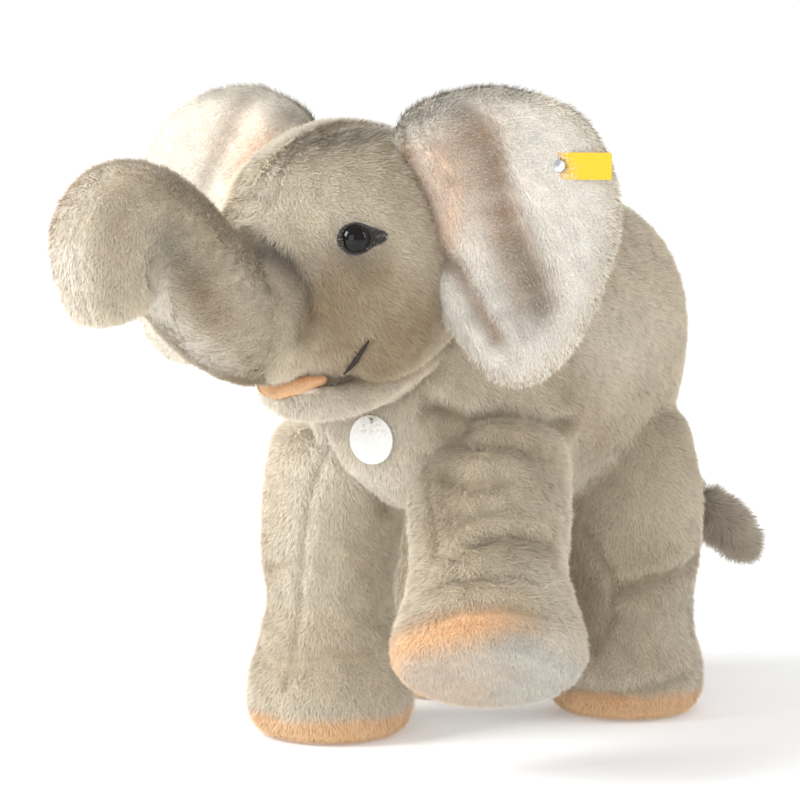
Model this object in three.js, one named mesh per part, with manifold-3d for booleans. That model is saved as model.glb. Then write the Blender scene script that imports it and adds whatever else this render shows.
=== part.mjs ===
// A sewn and stuffed toy elephant, standing on three feet with its left fore leg lifted.
// Millimetres, +Z up, the elephant faces -Y and its left side is +X.
// Every body (torso, head, trunk, ears, legs, tail, tags) is a group at its own pivot.
import * as THREE from "three";
import { mergeVertices } from "three/addons/utils/BufferGeometryUtils.js";
import Module from "manifold-3d";

const wasm = await Module();
wasm.setup();

// ---------------------------------------------------------------- driving dimensions
const CLOTH = 2.6; // plush backing with its laid pile
const SEAM = 0.35; // gap between two sewn panels, and between cover and stuffing
const MOVE = 0.9; // extra gap around a piece that swings
const SIDES = 14; // facets around a limb
const ROOM_SIDES = 10; // facets of the coarse shape that a swing is cleared with
const STUFFING_ROOM = 9; // how far stuffing stays from a piece that swings into it
const ROOM_MORE = 2.4; // how much coarser facets have to grow to stay outside the fine ones

const torso = {
  topZ: 356, bellyZ: 146, halfWidth: 101, chestY: -112, rumpY: 148, chestCap: 24, rumpCap: 30,
  gussetHalf: 30, chestPanelY: -78,
};
const stand = { halfTrack: 69, foreY: -78, hindY: 84 };
const foreLeg = { radius: 45, hipZ: 186, foot: 53, ankle: 42, flex: [-9, 9] };
const hindLeg = { radius: 48, hipZ: 186, foot: 51, ankle: 44, flex: [-9, 9] };
const lift = {
  hip: [58, -84, 186], knee: [67, -112, 143], ankle: [80, -138, 108], pad: [94, -164, 79], foot: 58,
  waist: 48,
};
const sole = { thickness: 4, inset: 2.5 };

const neck = { y: -100, z: 290, turn: -18, nod: [-8, 3] };
const skull = { halfWidth: 76, halfHeight: 92, centreZ: 317, back: -12, length: 126 };
const jaw = { halfWidth: 45, halfHeight: 12.5, z: 233, y: -76, length: 42 };
const crownHalf = 21; // half width of the strip that runs over the crown
const eye = { radius: 9.6, dome: 6.2, shank: 2, shankLength: 13, washer: 8, behindBrow: 21, z: 336 };
const eyePatch = { radius: 12, point: 21, thickness: 1.1 };
const stitch = { from: [30, 256], to: [18, 274], radius: 1.1 }; // each how far behind the brow, and how high

const trunk = { rootRadius: 46, midRadius: 33, tipRadius: 23, tipCap: 11, strip: 14 };
const trunkSpine = [
  [-84, 291], [-119, 295], [-150, 309], [-176, 330], [-199, 347], [-218, 348], [-232, 332],
  [-239, 311], [-237, 292],
];
const trunkSplit = 4; // spine point where the curling end begins
const liftRange = [-10, 4];
const curlRange = [-10, 10];

const ear = {
  layer: 3.6, cup: 16, root: [30, -42, 401], rootLow: [71, -38, 279], flap: [-18, 18],
  sweepLeft: 25, sweepRight: -18,
  flareRight: 0.22, // how far the right ear's lower lobe leans out for each mm down
};
const earOutline = [
  [4, 388], [14, 408], [36, 421], [59, 425], [92, 418], [116, 403], [130, 374], [133, 344],
  [126, 315], [116, 285], [100, 257], [76, 241], [48, 247], [22, 266], [4, 287], [0, 320],
  [0, 358],
];
const button = { radius: 4.2, thickness: 2.2, shank: 1.3, along: 101, z: 378 };
const flag = { length: 37, width: 16, thickness: 0.6, hole: 1.8, swing: [-15, 15] };

const tail = {
  root: [0, 160, 216], points: [[14, 195, 192], [36, 221, 161], [54, 235, 133]], radius: 10, end: 7,
};
const tuft = { length: 57, radius: 24, swing: [-18, 18] };
const tag = { radius: 15.5, thickness: 1.4, hole: 1.8, z: 205, swing: [-12, 4] };
const fastener = { radius: 0.9, bar: 6 };

// ---------------------------------------------------------------- materials
const cloth = (name, color) => new THREE.MeshStandardMaterial({ name, color, roughness: 0.95 });
const grey = cloth("grey_plush", 0x9a9186);
const cream = cloth("cream_plush", 0xcbbfae);
const peach = cloth("peach_plush", 0xd8a47c);
const innerEar = cloth("pale_ear_plush", 0xd9cfc6);
const longPile = cloth("long_pile_plush", 0x857c74);
const stuffing = cloth("polyester_stuffing", 0xf0eee9);
const felt = cloth("black_felt", 0x16151a);
const thread = cloth("dark_thread", 0x2c2728);
const glass = new THREE.MeshStandardMaterial({ name: "eye_gloss", color: 0x0a0808, roughness: 0.08 });
const nylon = new THREE.MeshStandardMaterial({ name: "nylon", color: 0xe8e8e4, roughness: 0.4 });
const card = new THREE.MeshStandardMaterial({ name: "white_card", color: 0xf4f2ec, roughness: 0.5 });
const ribbon = cloth("yellow_ribbon", 0xf2c417);
const steel = new THREE.MeshStandardMaterial({
  name: "button_steel", color: 0xb9babb, roughness: 0.3, metalness: 1,
});

// ---------------------------------------------------------------- solids
const V = (x, y, z) => new THREE.Vector3(x, y, z);

/** Makes a manifold solid from a closed geometry, turning it outward if it faces in. */
function solidOf(geometry) {
  const bare = geometry.clone();
  for (const name of Object.keys(bare.attributes)) if (name !== "position") bare.deleteAttribute(name);
  const merged = mergeVertices(bare, 1e-4);
  const at = merged.attributes.position.array;
  const tris = [];
  let volume = 0;
  for (let i = 0; i < merged.index.count; i += 3) {
    const t = [0, 1, 2].map((k) => merged.index.getX(i + k));
    if (t[0] === t[1] || t[1] === t[2] || t[2] === t[0]) continue;
    const [a, b, c] = t.map((k) => V(at[3 * k], at[3 * k + 1], at[3 * k + 2]));
    volume += a.dot(b.cross(c));
    tris.push(t);
  }
  if (volume < 0) for (const t of tris) t.reverse();
  return new wasm.Manifold(new wasm.Mesh({
    numProp: 3, vertProperties: Float32Array.from(at), triVerts: Uint32Array.from(tris.flat()),
  }));
}

/** Turns a manifold solid back into a three.js geometry. */
function geometryOf(solid) {
  const mesh = solid.getMesh();
  const geometry = new THREE.BufferGeometry();
  geometry.setAttribute("position", new THREE.BufferAttribute(new Float32Array(mesh.vertProperties), 3));
  geometry.setIndex(Array.from(mesh.triVerts));
  return geometry;
}

/** A closed skin over rings of points, each end closed by a fan. */
function skin(rings) {
  const n = rings[0].length;
  const points = rings.flat();
  const index = [];
  for (let r = 0; r + 1 < rings.length; r += 1) {
    for (let i = 0; i < n; i += 1) {
      const a = r * n + i, b = r * n + ((i + 1) % n);
      index.push(a, b, a + n, b, b + n, a + n);
    }
  }
  for (const [ring, flip] of [[0, true], [rings.length - 1, false]]) {
    const centre = rings[ring].reduce((s, p) => s.add(p), V(0, 0, 0)).divideScalar(n);
    points.push(centre);
    for (let i = 0; i < n; i += 1) {
      const a = ring * n + i, b = ring * n + ((i + 1) % n), c = points.length - 1;
      index.push(...(flip ? [b, a, c] : [a, b, c]));
    }
  }
  const geometry = new THREE.BufferGeometry();
  geometry.setAttribute("position", new THREE.Float32BufferAttribute(points.flatMap((p) => p.toArray()), 3));
  geometry.setIndex(index);
  return geometry;
}

/**
 * A limb: rings of superellipses along stations {at, a, b}, grown by d on every side.
 * caps gives the depth of the rounded ends, and 0 leaves an end flat and ungrown.
 */
function limb(stations, d = 0, { caps = [0, 0], power = 2, sides = SIDES, across = V(1, 0, 0) } = {}) {
  const at = stations.map((s) => V(...s.at));
  const last = at.length - 1;
  const along = at.map((p, i) => at[Math.min(i + 1, last)].clone().sub(at[Math.max(i - 1, 0)]).normalize());
  const ring = (centre, way, a, b) => {
    const u = across.clone().addScaledVector(way, -across.dot(way)).normalize();
    const v = way.clone().cross(u);
    return Array.from({ length: sides }, (_, i) => {
      const t = (2 * Math.PI * (i + 0.5)) / sides;
      const c = Math.cos(t), s = Math.sin(t);
      return centre.clone()
        .addScaledVector(u, a * Math.sign(c) * Math.abs(c) ** (2 / power))
        .addScaledVector(v, b * Math.sign(s) * Math.abs(s) ** (2 / power));
    });
  };
  const cap = (i, sign, depth) => [0.62, 1.12].map((t) => ring(
    at[i].clone().addScaledVector(along[i], sign * (depth + d) * Math.sin(t)), along[i],
    (stations[i].a + d) * Math.cos(t), (stations[i].b + d) * Math.cos(t),
  ));
  const rings = stations.map((s, i) => ring(at[i], along[i], s.a + d, s.b + d));
  if (caps[0]) rings.unshift(...cap(0, -1, caps[0]).reverse());
  if (caps[1]) rings.push(...cap(last, 1, caps[1]));
  return skin(rings);
}

/** A box between two corners. */
function block(from, to) {
  const size = V(...to).sub(V(...from));
  const box = new THREE.BoxGeometry(size.x, size.y, size.z);
  return solidOf(box.translate(...V(...from).addScaledVector(size, 0.5).toArray()));
}

/** The space that a shape needs as it swings by the angles about an axis through a pivot. */
function swept(geometry, pivot, axis, range, fine = false) {
  const between = fine ? [range[0] / 2, range[1] / 2] : [];
  const steps = [range[0], 0, range[1], ...between];
  return steps.map((degrees) => {
    const turn = new THREE.Matrix4().makeTranslation(...pivot)
      .multiply(new THREE.Matrix4().makeRotationAxis(V(...axis).normalize(), THREE.MathUtils.degToRad(degrees)))
      .multiply(new THREE.Matrix4().makeTranslation(-pivot[0], -pivot[1], -pivot[2]));
    return solidOf(geometry.clone().applyMatrix4(turn));
  }).reduce((all, one) => all.add(one));
}

/** The cloth of a shape: its outside less its outside brought in by the cloth. */
const shellOf = (shape) => shape(0).subtract(shape(-CLOTH));
/** The stuffing of a shape: what is left inside the cloth. */
const fillOf = (shape) => shape(-CLOTH - SEAM);
const FAR = 900;

// ---------------------------------------------------------------- the scene
const elephant = new THREE.Group();
elephant.name = "stuffed_elephant";

function bodyAt(parent, name, position, turn = 0) {
  const group = new THREE.Group();
  group.name = name;
  group.position.copy(parent.worldToLocal(V(...position)));
  group.rotation.z = THREE.MathUtils.degToRad(turn);
  parent.add(group);
  elephant.updateMatrixWorld(true);
  return group;
}

/** Adds a solid given in the whole toy's frame, or in the frame of `frame`, to a body. */
function piece(group, name, solid, material, frame = null) {
  const geometry = solid instanceof THREE.BufferGeometry ? solid : geometryOf(solid);
  if (frame) geometry.applyMatrix4(frame.matrixWorld);
  geometry.applyMatrix4(group.matrixWorld.clone().invert());
  geometry.computeVertexNormals();
  const mesh = new THREE.Mesh(geometry, material);
  mesh.name = name;
  group.add(mesh);
  return mesh;
}

const inFrame = (geometry, frame) => geometry.clone().applyMatrix4(frame.matrixWorld);
const toFrame = (solid, frame) => solidOf(geometryOf(solid).applyMatrix4(frame.matrixWorld.clone().invert()));

// ---------------------------------------------------------------- shapes, each grown by d
const torsoMid = (torso.topZ + torso.bellyZ) / 2;
const torsoHalf = (torso.topZ - torso.bellyZ) / 2;
const torsoShape = (d, sides = 20) => solidOf(limb([
  [torso.chestY, 0, 0.66, 0.66], [torso.chestY * 0.62, -1, 0.9, 0.9], [torso.chestY * 0.12, 0, 1, 0.98],
  [torso.rumpY * 0.4, 0, 1.01, 1], [torso.rumpY * 0.75, -1, 0.97, 0.97], [torso.rumpY, -4, 0.78, 0.8],
].map(([y, dz, w, h]) => ({ at: [0, y, torsoMid + dz], a: torso.halfWidth * w, b: torsoHalf * h })),
d, { caps: [torso.chestCap, torso.rumpCap], power: 2.3, sides }));

/** A standing leg, down to the top of its sole. */
function standingLeg(side, y, leg) {
  const x = side * stand.halfTrack;
  const floor = sole.thickness + SEAM;
  const rows = [
    [x, floor, leg.foot / leg.radius], [x, floor + 18, leg.foot / leg.radius], [x, 72, leg.ankle / leg.radius],
    [x, 112, 0.98], [x - side * 2, 150, 1.03], [x - side * 6, leg.hipZ, 1],
  ];
  return (d, sides = SIDES) => limb(rows.map(([px, pz, k], i) => ({
    at: [px, y, pz], a: leg.radius * k, b: leg.radius * k * (i > 2 ? 1.06 : 1),
  })), d, { caps: [0, 28], sides });
}

/** The lifted leg: from its pad up through ankle and knee to the hip. */
function liftedLeg() {
  const pad = V(...lift.pad), ankle = V(...lift.ankle);
  const way = pad.clone().sub(ankle).normalize();
  const rows = [
    [pad.toArray(), lift.foot * 0.97], [pad.clone().addScaledVector(way, -20).toArray(), lift.foot],
    [ankle.clone().addScaledVector(way, -3).toArray(), lift.waist], [lift.knee, foreLeg.radius + 2],
    [lift.hip, foreLeg.radius],
  ];
  return {
    shape: (d, sides = SIDES) => limb(rows.map(([at, r]) => ({ at, a: r, b: r })), d, { caps: [0, 28], sides }),
    way, pad,
  };
}

const X = [1, 0, 0];
const lifted = liftedLeg();
const legs = [
  { name: "fore_right", side: -1, y: stand.foreY, spec: foreLeg },
  { name: "fore_left", side: 1, y: stand.foreY, spec: foreLeg, shape: lifted.shape },
  { name: "hind_right", side: -1, y: stand.hindY, spec: hindLeg },
  { name: "hind_left", side: 1, y: stand.hindY, spec: hindLeg },
];
for (const leg of legs) {
  leg.shape ??= standingLeg(leg.side, leg.y, leg.spec);
  leg.pivot = leg.shape === lifted.shape ? lift.hip
    : [leg.side * (stand.halfTrack - 6), leg.y, leg.spec.hipZ];
  leg.wide = solidOf(leg.shape(STUFFING_ROOM, 8));
  leg.room = swept(leg.shape(MOVE + ROOM_MORE, ROOM_SIDES), leg.pivot, X, leg.spec.flex);
}

// The head is laid out looking along -Y from the neck, then turned with its group.
const head = bodyAt(elephant, "head", [0, neck.y, neck.z], neck.turn);
const H = new THREE.Group(); // the head's layout frame: the neck's place, heights from the floor
H.position.set(0, neck.y, 0);
H.rotation.z = THREE.MathUtils.degToRad(neck.turn);
H.updateMatrixWorld(true);

const skullGeometry = (d, sides = 20) => limb([
  [0, 0.55, 0.6, -2], [0.2, 0.87, 0.88, 0], [0.5, 1, 1, 0], [0.76, 0.93, 0.93, -2], [1, 0.72, 0.76, -5],
].map(([k, w, h, dz]) => ({
  at: [0, -(skull.back + k * skull.length), skull.centreZ + dz], a: skull.halfWidth * w, b: skull.halfHeight * h,
})), d, { caps: [14, 20], sides });
const jawGeometry = (d, sides = SIDES) => limb([
  { at: [0, jaw.y + jaw.length / 2, jaw.z - 2], a: jaw.halfWidth, b: jaw.halfHeight },
  { at: [0, jaw.y - jaw.length / 2, jaw.z], a: jaw.halfWidth * 0.8, b: jaw.halfHeight * 0.8 },
], d, { caps: [10, 18], sides });
const headShape = (d) => solidOf(skullGeometry(d)).add(solidOf(jawGeometry(d)));

// ---------------------------------------------------------------- trunk
const spine = trunkSpine.map(([y, z]) => V(0, y, z));
const reach = spine.map((p, i) => (i ? p.distanceTo(spine[i - 1]) : 0));
for (let i = 1; i < reach.length; i += 1) reach[i] += reach[i - 1];
const girth = (i) => {
  const split = reach[trunkSplit];
  if (reach[i] <= split) return THREE.MathUtils.lerp(trunk.rootRadius, trunk.midRadius, reach[i] / split);
  return THREE.MathUtils.lerp(trunk.midRadius, trunk.tipRadius, (reach[i] - split) / (reach.at(-1) - split));
};
const stationsOf = (from, to) => spine.slice(from, to + 1).map((p, i) => ({
  at: p.toArray(), a: girth(from + i), b: girth(from + i),
}));
const trunkGeometry = (d, sides = SIDES) => limb(stationsOf(0, trunkSplit), d, { caps: [16, 8], sides });
const tipGeometry = (d, sides = SIDES) => limb(
  stationsOf(trunkSplit, spine.length - 1), d, { caps: [8, trunk.tipCap], sides },
);
const trunkPivot = spine[0].toArray();
const curlPivot = spine[trunkSplit].toArray();
const trunkRoom = swept(trunkGeometry(MOVE + ROOM_MORE, ROOM_SIDES), trunkPivot, X, liftRange);
const tipRoom = swept(tipGeometry(MOVE + 2, ROOM_SIDES), curlPivot, X, curlRange);
const tipClear = swept(tipGeometry(MOVE + ROOM_MORE, ROOM_SIDES), curlPivot, X, curlRange, true);

/** The band along the hollow side of the trunk that its lighter strip fills. */
function stripBand(from, to) {
  const run = spine.slice(from, to + 1);
  const first = run[0].clone().sub(run[1]).setLength(60).add(run[0]);
  const end = run.at(-1).clone().sub(run.at(-2)).setLength(60).add(run.at(-1));
  const line = [first, ...run, end];
  const inner = line.map((p, i) => {
    const way = line[Math.min(i + 1, line.length - 1)].clone().sub(line[Math.max(i - 1, 0)]).normalize();
    return p.clone().add(V(0, way.z, -way.y).multiplyScalar(-60));
  });
  const flat = [...line, ...inner.reverse()].map((p) => new THREE.Vector2(p.y, p.z));
  const band = new THREE.ExtrudeGeometry(new THREE.Shape(flat), { depth: 2 * trunk.strip, bevelEnabled: false });
  // The shape's own x and y become the toy's y and z, and its depth runs across.
  band.applyMatrix4(new THREE.Matrix4().makeBasis(V(0, 1, 0), V(0, 0, 1), V(1, 0, 0)));
  return solidOf(band.translate(-trunk.strip, 0, 0));
}

// ---------------------------------------------------------------- ears
const pivotZ = (ear.root[2] + ear.rootLow[2]) / 2;

/** One cloth layer of an ear in its own frame: x outward, z up, thickness along y. */
function earLayer(y0, y1, grow, side, rows = [0.5, 0.85, 1]) {
  const centre = [62, 335];
  const fold = (x) => -ear.cup * Math.sin(Math.min(1, Math.max(0, x) / 135) * Math.PI) * 0.5;
  const n = earOutline.length;
  const points = [];
  const flare = side < 0 ? ear.flareRight : 0;
  const spread = (x, z) => x + flare * (pivotZ - z) * Math.min(1, Math.max(0, x) / 100);
  for (const y of [y0, y1]) {
    points.push(V(side * spread(...centre), y + fold(centre[0]), centre[1]));
    for (const k of rows) {
      for (const [ox, oz] of earOutline) {
        const grown = k === 1 ? grow : 0;
        const dx = ox - centre[0], dz = oz - centre[1], r = Math.hypot(dx, dz);
        const x = centre[0] + k * dx + (grown * dx) / r;
        const z = centre[1] + k * dz + (grown * dz) / r;
        points.push(V(side * spread(x, z), y + fold(x), z));
      }
    }
  }
  const half = 1 + rows.length * n;
  const index = [];
  for (let i = 0; i < n; i += 1) {
    const j = (i + 1) % n;
    index.push(0, 1 + j, 1 + i, half, half + 1 + i, half + 1 + j);
    for (let r = 0; r + 1 < rows.length; r += 1) {
      const a = 1 + r * n + i, b = 1 + r * n + j;
      index.push(a, b, a + n, b, b + n, a + n);
      index.push(half + a, half + a + n, half + b, half + b, half + a + n, half + b + n);
    }
    const a = 1 + (rows.length - 1) * n + i, b = 1 + (rows.length - 1) * n + j;
    index.push(a, b, half + a, b, half + b, half + a);
  }
  const geometry = new THREE.BufferGeometry();
  geometry.setAttribute("position", new THREE.Float32BufferAttribute(points.flatMap((p) => p.toArray()), 3));
  geometry.setIndex(index);
  return geometry;
}

const ears = [["left", 1, ear.sweepLeft], ["right", -1, ear.sweepRight]].map(([name, side, sweep]) => {
  const top = V(side * ear.root[0], ear.root[1], ear.root[2]);
  const low = V(side * ear.rootLow[0], ear.rootLow[1], ear.rootLow[2]);
  const lean = Math.atan2(Math.abs(low.x - top.x), top.z - low.z);
  const pivot = top.clone().add(low).multiplyScalar(0.5);
  // Shears the ear along its slanted root, then turns it back by its sweep.
  const place = new THREE.Matrix4().makeTranslation(pivot.x, pivot.y, 0)
    .multiply(new THREE.Matrix4().makeRotationZ(side * THREE.MathUtils.degToRad(sweep)));
  const slope = Math.tan(lean) * side;
  const shear = (geometry) => {
    const at = geometry.attributes.position;
    for (let i = 0; i < at.count; i += 1) {
      const away = Math.max(0, 1 - Math.abs(at.getX(i)) / 60);
      at.setX(i, at.getX(i) - slope * away * (at.getZ(i) - pivot.z));
    }
    return geometry.applyMatrix4(place);
  };
  return {
    name, side, pivot, shear, place,
    axis: top.clone().sub(low).normalize().toArray(),
    front: () => shear(earLayer(-SEAM / 2 - ear.layer, -SEAM / 2, -2, side)),
    back: () => shear(earLayer(SEAM / 2, SEAM / 2 + ear.layer, 0, side)),
    hull: (d) => shear(earLayer(-SEAM / 2 - ear.layer - d, SEAM / 2 + ear.layer + d, d, side, [0.5, 1])),
  };
});
for (const one of ears) one.room = swept(one.hull(MOVE), one.pivot.toArray(), one.axis, ear.flap);

// ---------------------------------------------------------------- torso pieces
const headRoom = (() => {
  const parts = [skullGeometry(MOVE + ROOM_MORE * 1.4, ROOM_SIDES + 2), jawGeometry(MOVE + 1.4, ROOM_SIDES)];
  const side = inFrame(new THREE.BufferGeometry().setFromPoints([V(0, 0, 0), V(1, 0, 0)]), H);
  const at = side.attributes.position;
  const axis = [at.getX(1) - at.getX(0), at.getY(1) - at.getY(0), 0];
  return parts.map((part) => swept(inFrame(part, H), [0, neck.y, neck.z], axis, neck.nod))
    .reduce((a, b) => a.add(b));
})();

const tailStations = [tail.root, ...tail.points].map((at, i, all) => {
  const r = THREE.MathUtils.lerp(tail.radius, tail.end, i / (all.length - 1));
  return { at, a: r, b: r };
});
const tailGeometry = (d) => limb(tailStations, d, { caps: [8, 0], sides: 12 });
const tailRoom = swept(tailGeometry(MOVE), tail.root, [0, 0, 1], tuft.swing);

let torsoRoom = headRoom.add(tailRoom);
for (const leg of legs) torsoRoom = torsoRoom.add(leg.room);

// The tag hangs on a fastener that is pushed through the chest cloth.
const chestY = torso.chestY - torso.chestCap;
const tagY = chestY - 5;
const rod = (from, to, radius, sides = 10) => {
  const a = V(...from), b = V(...to);
  const bar = new THREE.CylinderGeometry(radius, radius, a.distanceTo(b), sides);
  bar.applyQuaternion(new THREE.Quaternion().setFromUnitVectors(V(0, 1, 0), b.clone().sub(a).normalize()));
  return bar.translate(...a.add(b).multiplyScalar(0.5).toArray());
};
const tagTop = tag.z + tag.radius - 3.4; // height of the tag's hole
const barY = chestY + CLOTH + 2.2;
const fastenerSolid = solidOf(rod([0, barY, tagTop], [0, tagY - 4, tagTop], fastener.radius))
  .add(solidOf(rod([-fastener.bar, barY, tagTop], [fastener.bar, barY, tagTop], fastener.radius)))
  .add(solidOf(rod([0, tagY - 5.2, tagTop], [0, tagY - 4, tagTop], fastener.radius * 2.4)));
const fastenerRoom = solidOf(rod([0, barY + 4, tagTop], [0, tagY - 4, tagTop], fastener.radius + SEAM))
  .add(block([-fastener.bar - 1, barY - 1.5, tagTop - 1.5], [fastener.bar + 1, barY + 1.5, tagTop + 1.5]));

const torsoShell = shellOf(torsoShape).subtract(torsoRoom).subtract(fastenerRoom);
const torsoFill = legs.reduce((s, leg) => s.subtract(leg.wide), torsoShape(-CLOTH - SEAM - 2.4, 12))
  .subtract(solidOf(inFrame(skullGeometry(STUFFING_ROOM, ROOM_SIDES), H)))
  .subtract(solidOf(inFrame(jawGeometry(STUFFING_ROOM, ROOM_SIDES), H)))
  .subtract(solidOf(tailGeometry(STUFFING_ROOM))).subtract(fastenerRoom);
const g = torso.gussetHalf;
const under = (grow) => block([-g - grow, -FAR, -FAR], [g + grow, FAR, torsoMid + 22 + grow]);
const gusset = torsoShell.intersect(under(0));
const sides = torsoShell.subtract(under(SEAM));
piece(elephant, "body_side_left", sides.intersect(block([SEAM / 2, -FAR, -FAR], [FAR, FAR, FAR])), grey);
piece(elephant, "body_side_right", sides.intersect(block([-FAR, -FAR, -FAR], [-SEAM / 2, FAR, FAR])), grey);
const chestCut = torso.chestPanelY;
const rumpCut = torso.rumpY * 0.8;
piece(elephant, "chest_panel", gusset.intersect(block([-FAR, -FAR, -FAR], [FAR, chestCut, FAR])), cream);
piece(elephant, "belly_panel", gusset.intersect(block([-FAR, chestCut + SEAM, -FAR], [FAR, rumpCut, FAR])), cream);
piece(elephant, "rump_panel", gusset.intersect(block([-FAR, rumpCut + SEAM, -FAR], [FAR, FAR, FAR])), grey);
piece(elephant, "body_stuffing", torsoFill, stuffing);
piece(elephant, "tag_fastener", fastenerSolid, nylon);

// ---------------------------------------------------------------- chest tag
const tagBody = bodyAt(elephant, "tag", [0, tagY, tagTop]);
const disc = new THREE.CylinderGeometry(tag.radius, tag.radius, tag.thickness, 24).translate(0, tagY, tag.z);
const tagHole = new THREE.CylinderGeometry(tag.hole, tag.hole, 12, 12).translate(0, tagY, tagTop);
piece(tagBody, "chest_tag", solidOf(disc).subtract(solidOf(tagHole)), card);

// ---------------------------------------------------------------- legs
for (const leg of legs) {
  const body = bodyAt(elephant, `leg_${leg.name}`, leg.pivot);
  const outer = solidOf(leg.shape(0));
  const inner = solidOf(leg.shape(-CLOTH));
  // The cover is open below, where the sole is sewn in.
  const drop = leg.name === "fore_left" ? lifted.way.clone().multiplyScalar(6) : V(0, 0, -6);
  const open = solidOf(leg.shape(-CLOTH).translate(drop.x, drop.y, drop.z));
  const cover = outer.subtract(inner).subtract(open);
  const mid = leg.pivot[0] + leg.side * 8;
  const wide = leg.name === "fore_left" ? 22 : 0;
  const outsideFrom = [leg.side > 0 ? mid + wide : -FAR, -FAR, -FAR];
  const outsideTo = [leg.side > 0 ? FAR : mid - wide, FAR, FAR];
  const insideFrom = [leg.side > 0 ? -FAR : mid - wide + SEAM, -FAR, -FAR];
  const insideTo = [leg.side > 0 ? mid + wide - SEAM : FAR, FAR, FAR];
  piece(body, `${leg.name}_leg_outer`, cover.intersect(block(outsideFrom, outsideTo)), grey);
  piece(body, `${leg.name}_leg_inner`, cover.intersect(block(insideFrom, insideTo)), cream);
  piece(body, `${leg.name}_leg_stuffing`, solidOf(leg.shape(-CLOTH - SEAM)), stuffing);
  const foot = leg.name === "fore_left" ? lift.foot * 0.97 : leg.spec.foot;
  const pad = new THREE.CylinderGeometry(foot - 0.5, foot - sole.inset, sole.thickness, 24);
  if (leg.name === "fore_left") {
    const turn = new THREE.Quaternion().setFromUnitVectors(V(0, -1, 0), lifted.way);
    pad.applyQuaternion(turn).translate(...lifted.pad.clone()
      .addScaledVector(lifted.way, SEAM + sole.thickness / 2).toArray());
  } else {
    pad.rotateX(Math.PI / 2).translate(leg.side * stand.halfTrack, leg.y, sole.thickness / 2);
  }
  piece(body, `${leg.name}_sole`, solidOf(pad), peach);
}

// ---------------------------------------------------------------- tail
const tailBody = bodyAt(elephant, "tail", tail.root);
const tailOuter = solidOf(tailGeometry(0));
const tailInner = solidOf(tailGeometry(-1.6));
piece(tailBody, "tail_cover", tailOuter.subtract(tailInner), grey);
piece(tailBody, "tail_core", solidOf(tailGeometry(-1.6 - SEAM)), stuffing);
const tailEnd = V(...tail.points.at(-1));
const tailWay = tailEnd.clone().sub(V(...tail.points.at(-2))).normalize();
const tuftAt = (k) => tailEnd.clone().addScaledVector(tailWay, SEAM + 0.1 + k * tuft.length).toArray();
piece(tailBody, "tail_tuft", solidOf(limb([
  { at: tuftAt(0), a: tail.end, b: tail.end }, { at: tuftAt(0.22), a: tuft.radius * 0.72, b: tuft.radius * 0.72 },
  { at: tuftAt(0.55), a: tuft.radius, b: tuft.radius }, { at: tuftAt(0.85), a: tuft.radius * 0.7, b: tuft.radius * 0.7 },
], 0, { caps: [0, 12], sides: 14 })), longPile);

// ---------------------------------------------------------------- head pieces, in the layout frame
const torsoInHead = toFrame(torsoShape(0), H);
const headClear = ears.reduce((all, one) => all.add(one.room), trunkRoom);

/** Where a level line across the head leaves it: the point and the outward direction. */
function onHead(side, y, z) {
  const mesh = new THREE.Mesh(skullGeometry(0), new THREE.MeshBasicMaterial({ side: THREE.DoubleSide }));
  const ray = new THREE.Raycaster(V(side * 400, y, z), V(-side, 0, 0));
  const hit = ray.intersectObject(mesh)[0].point;
  const out = hit.clone().sub(V(0, -(skull.back + skull.length * 0.5), skull.centreZ));
  const grow = V(skull.halfWidth, skull.length * 0.6, skull.halfHeight);
  return { hit, out: out.divide(grow).divide(grow).normalize() };
}

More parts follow.
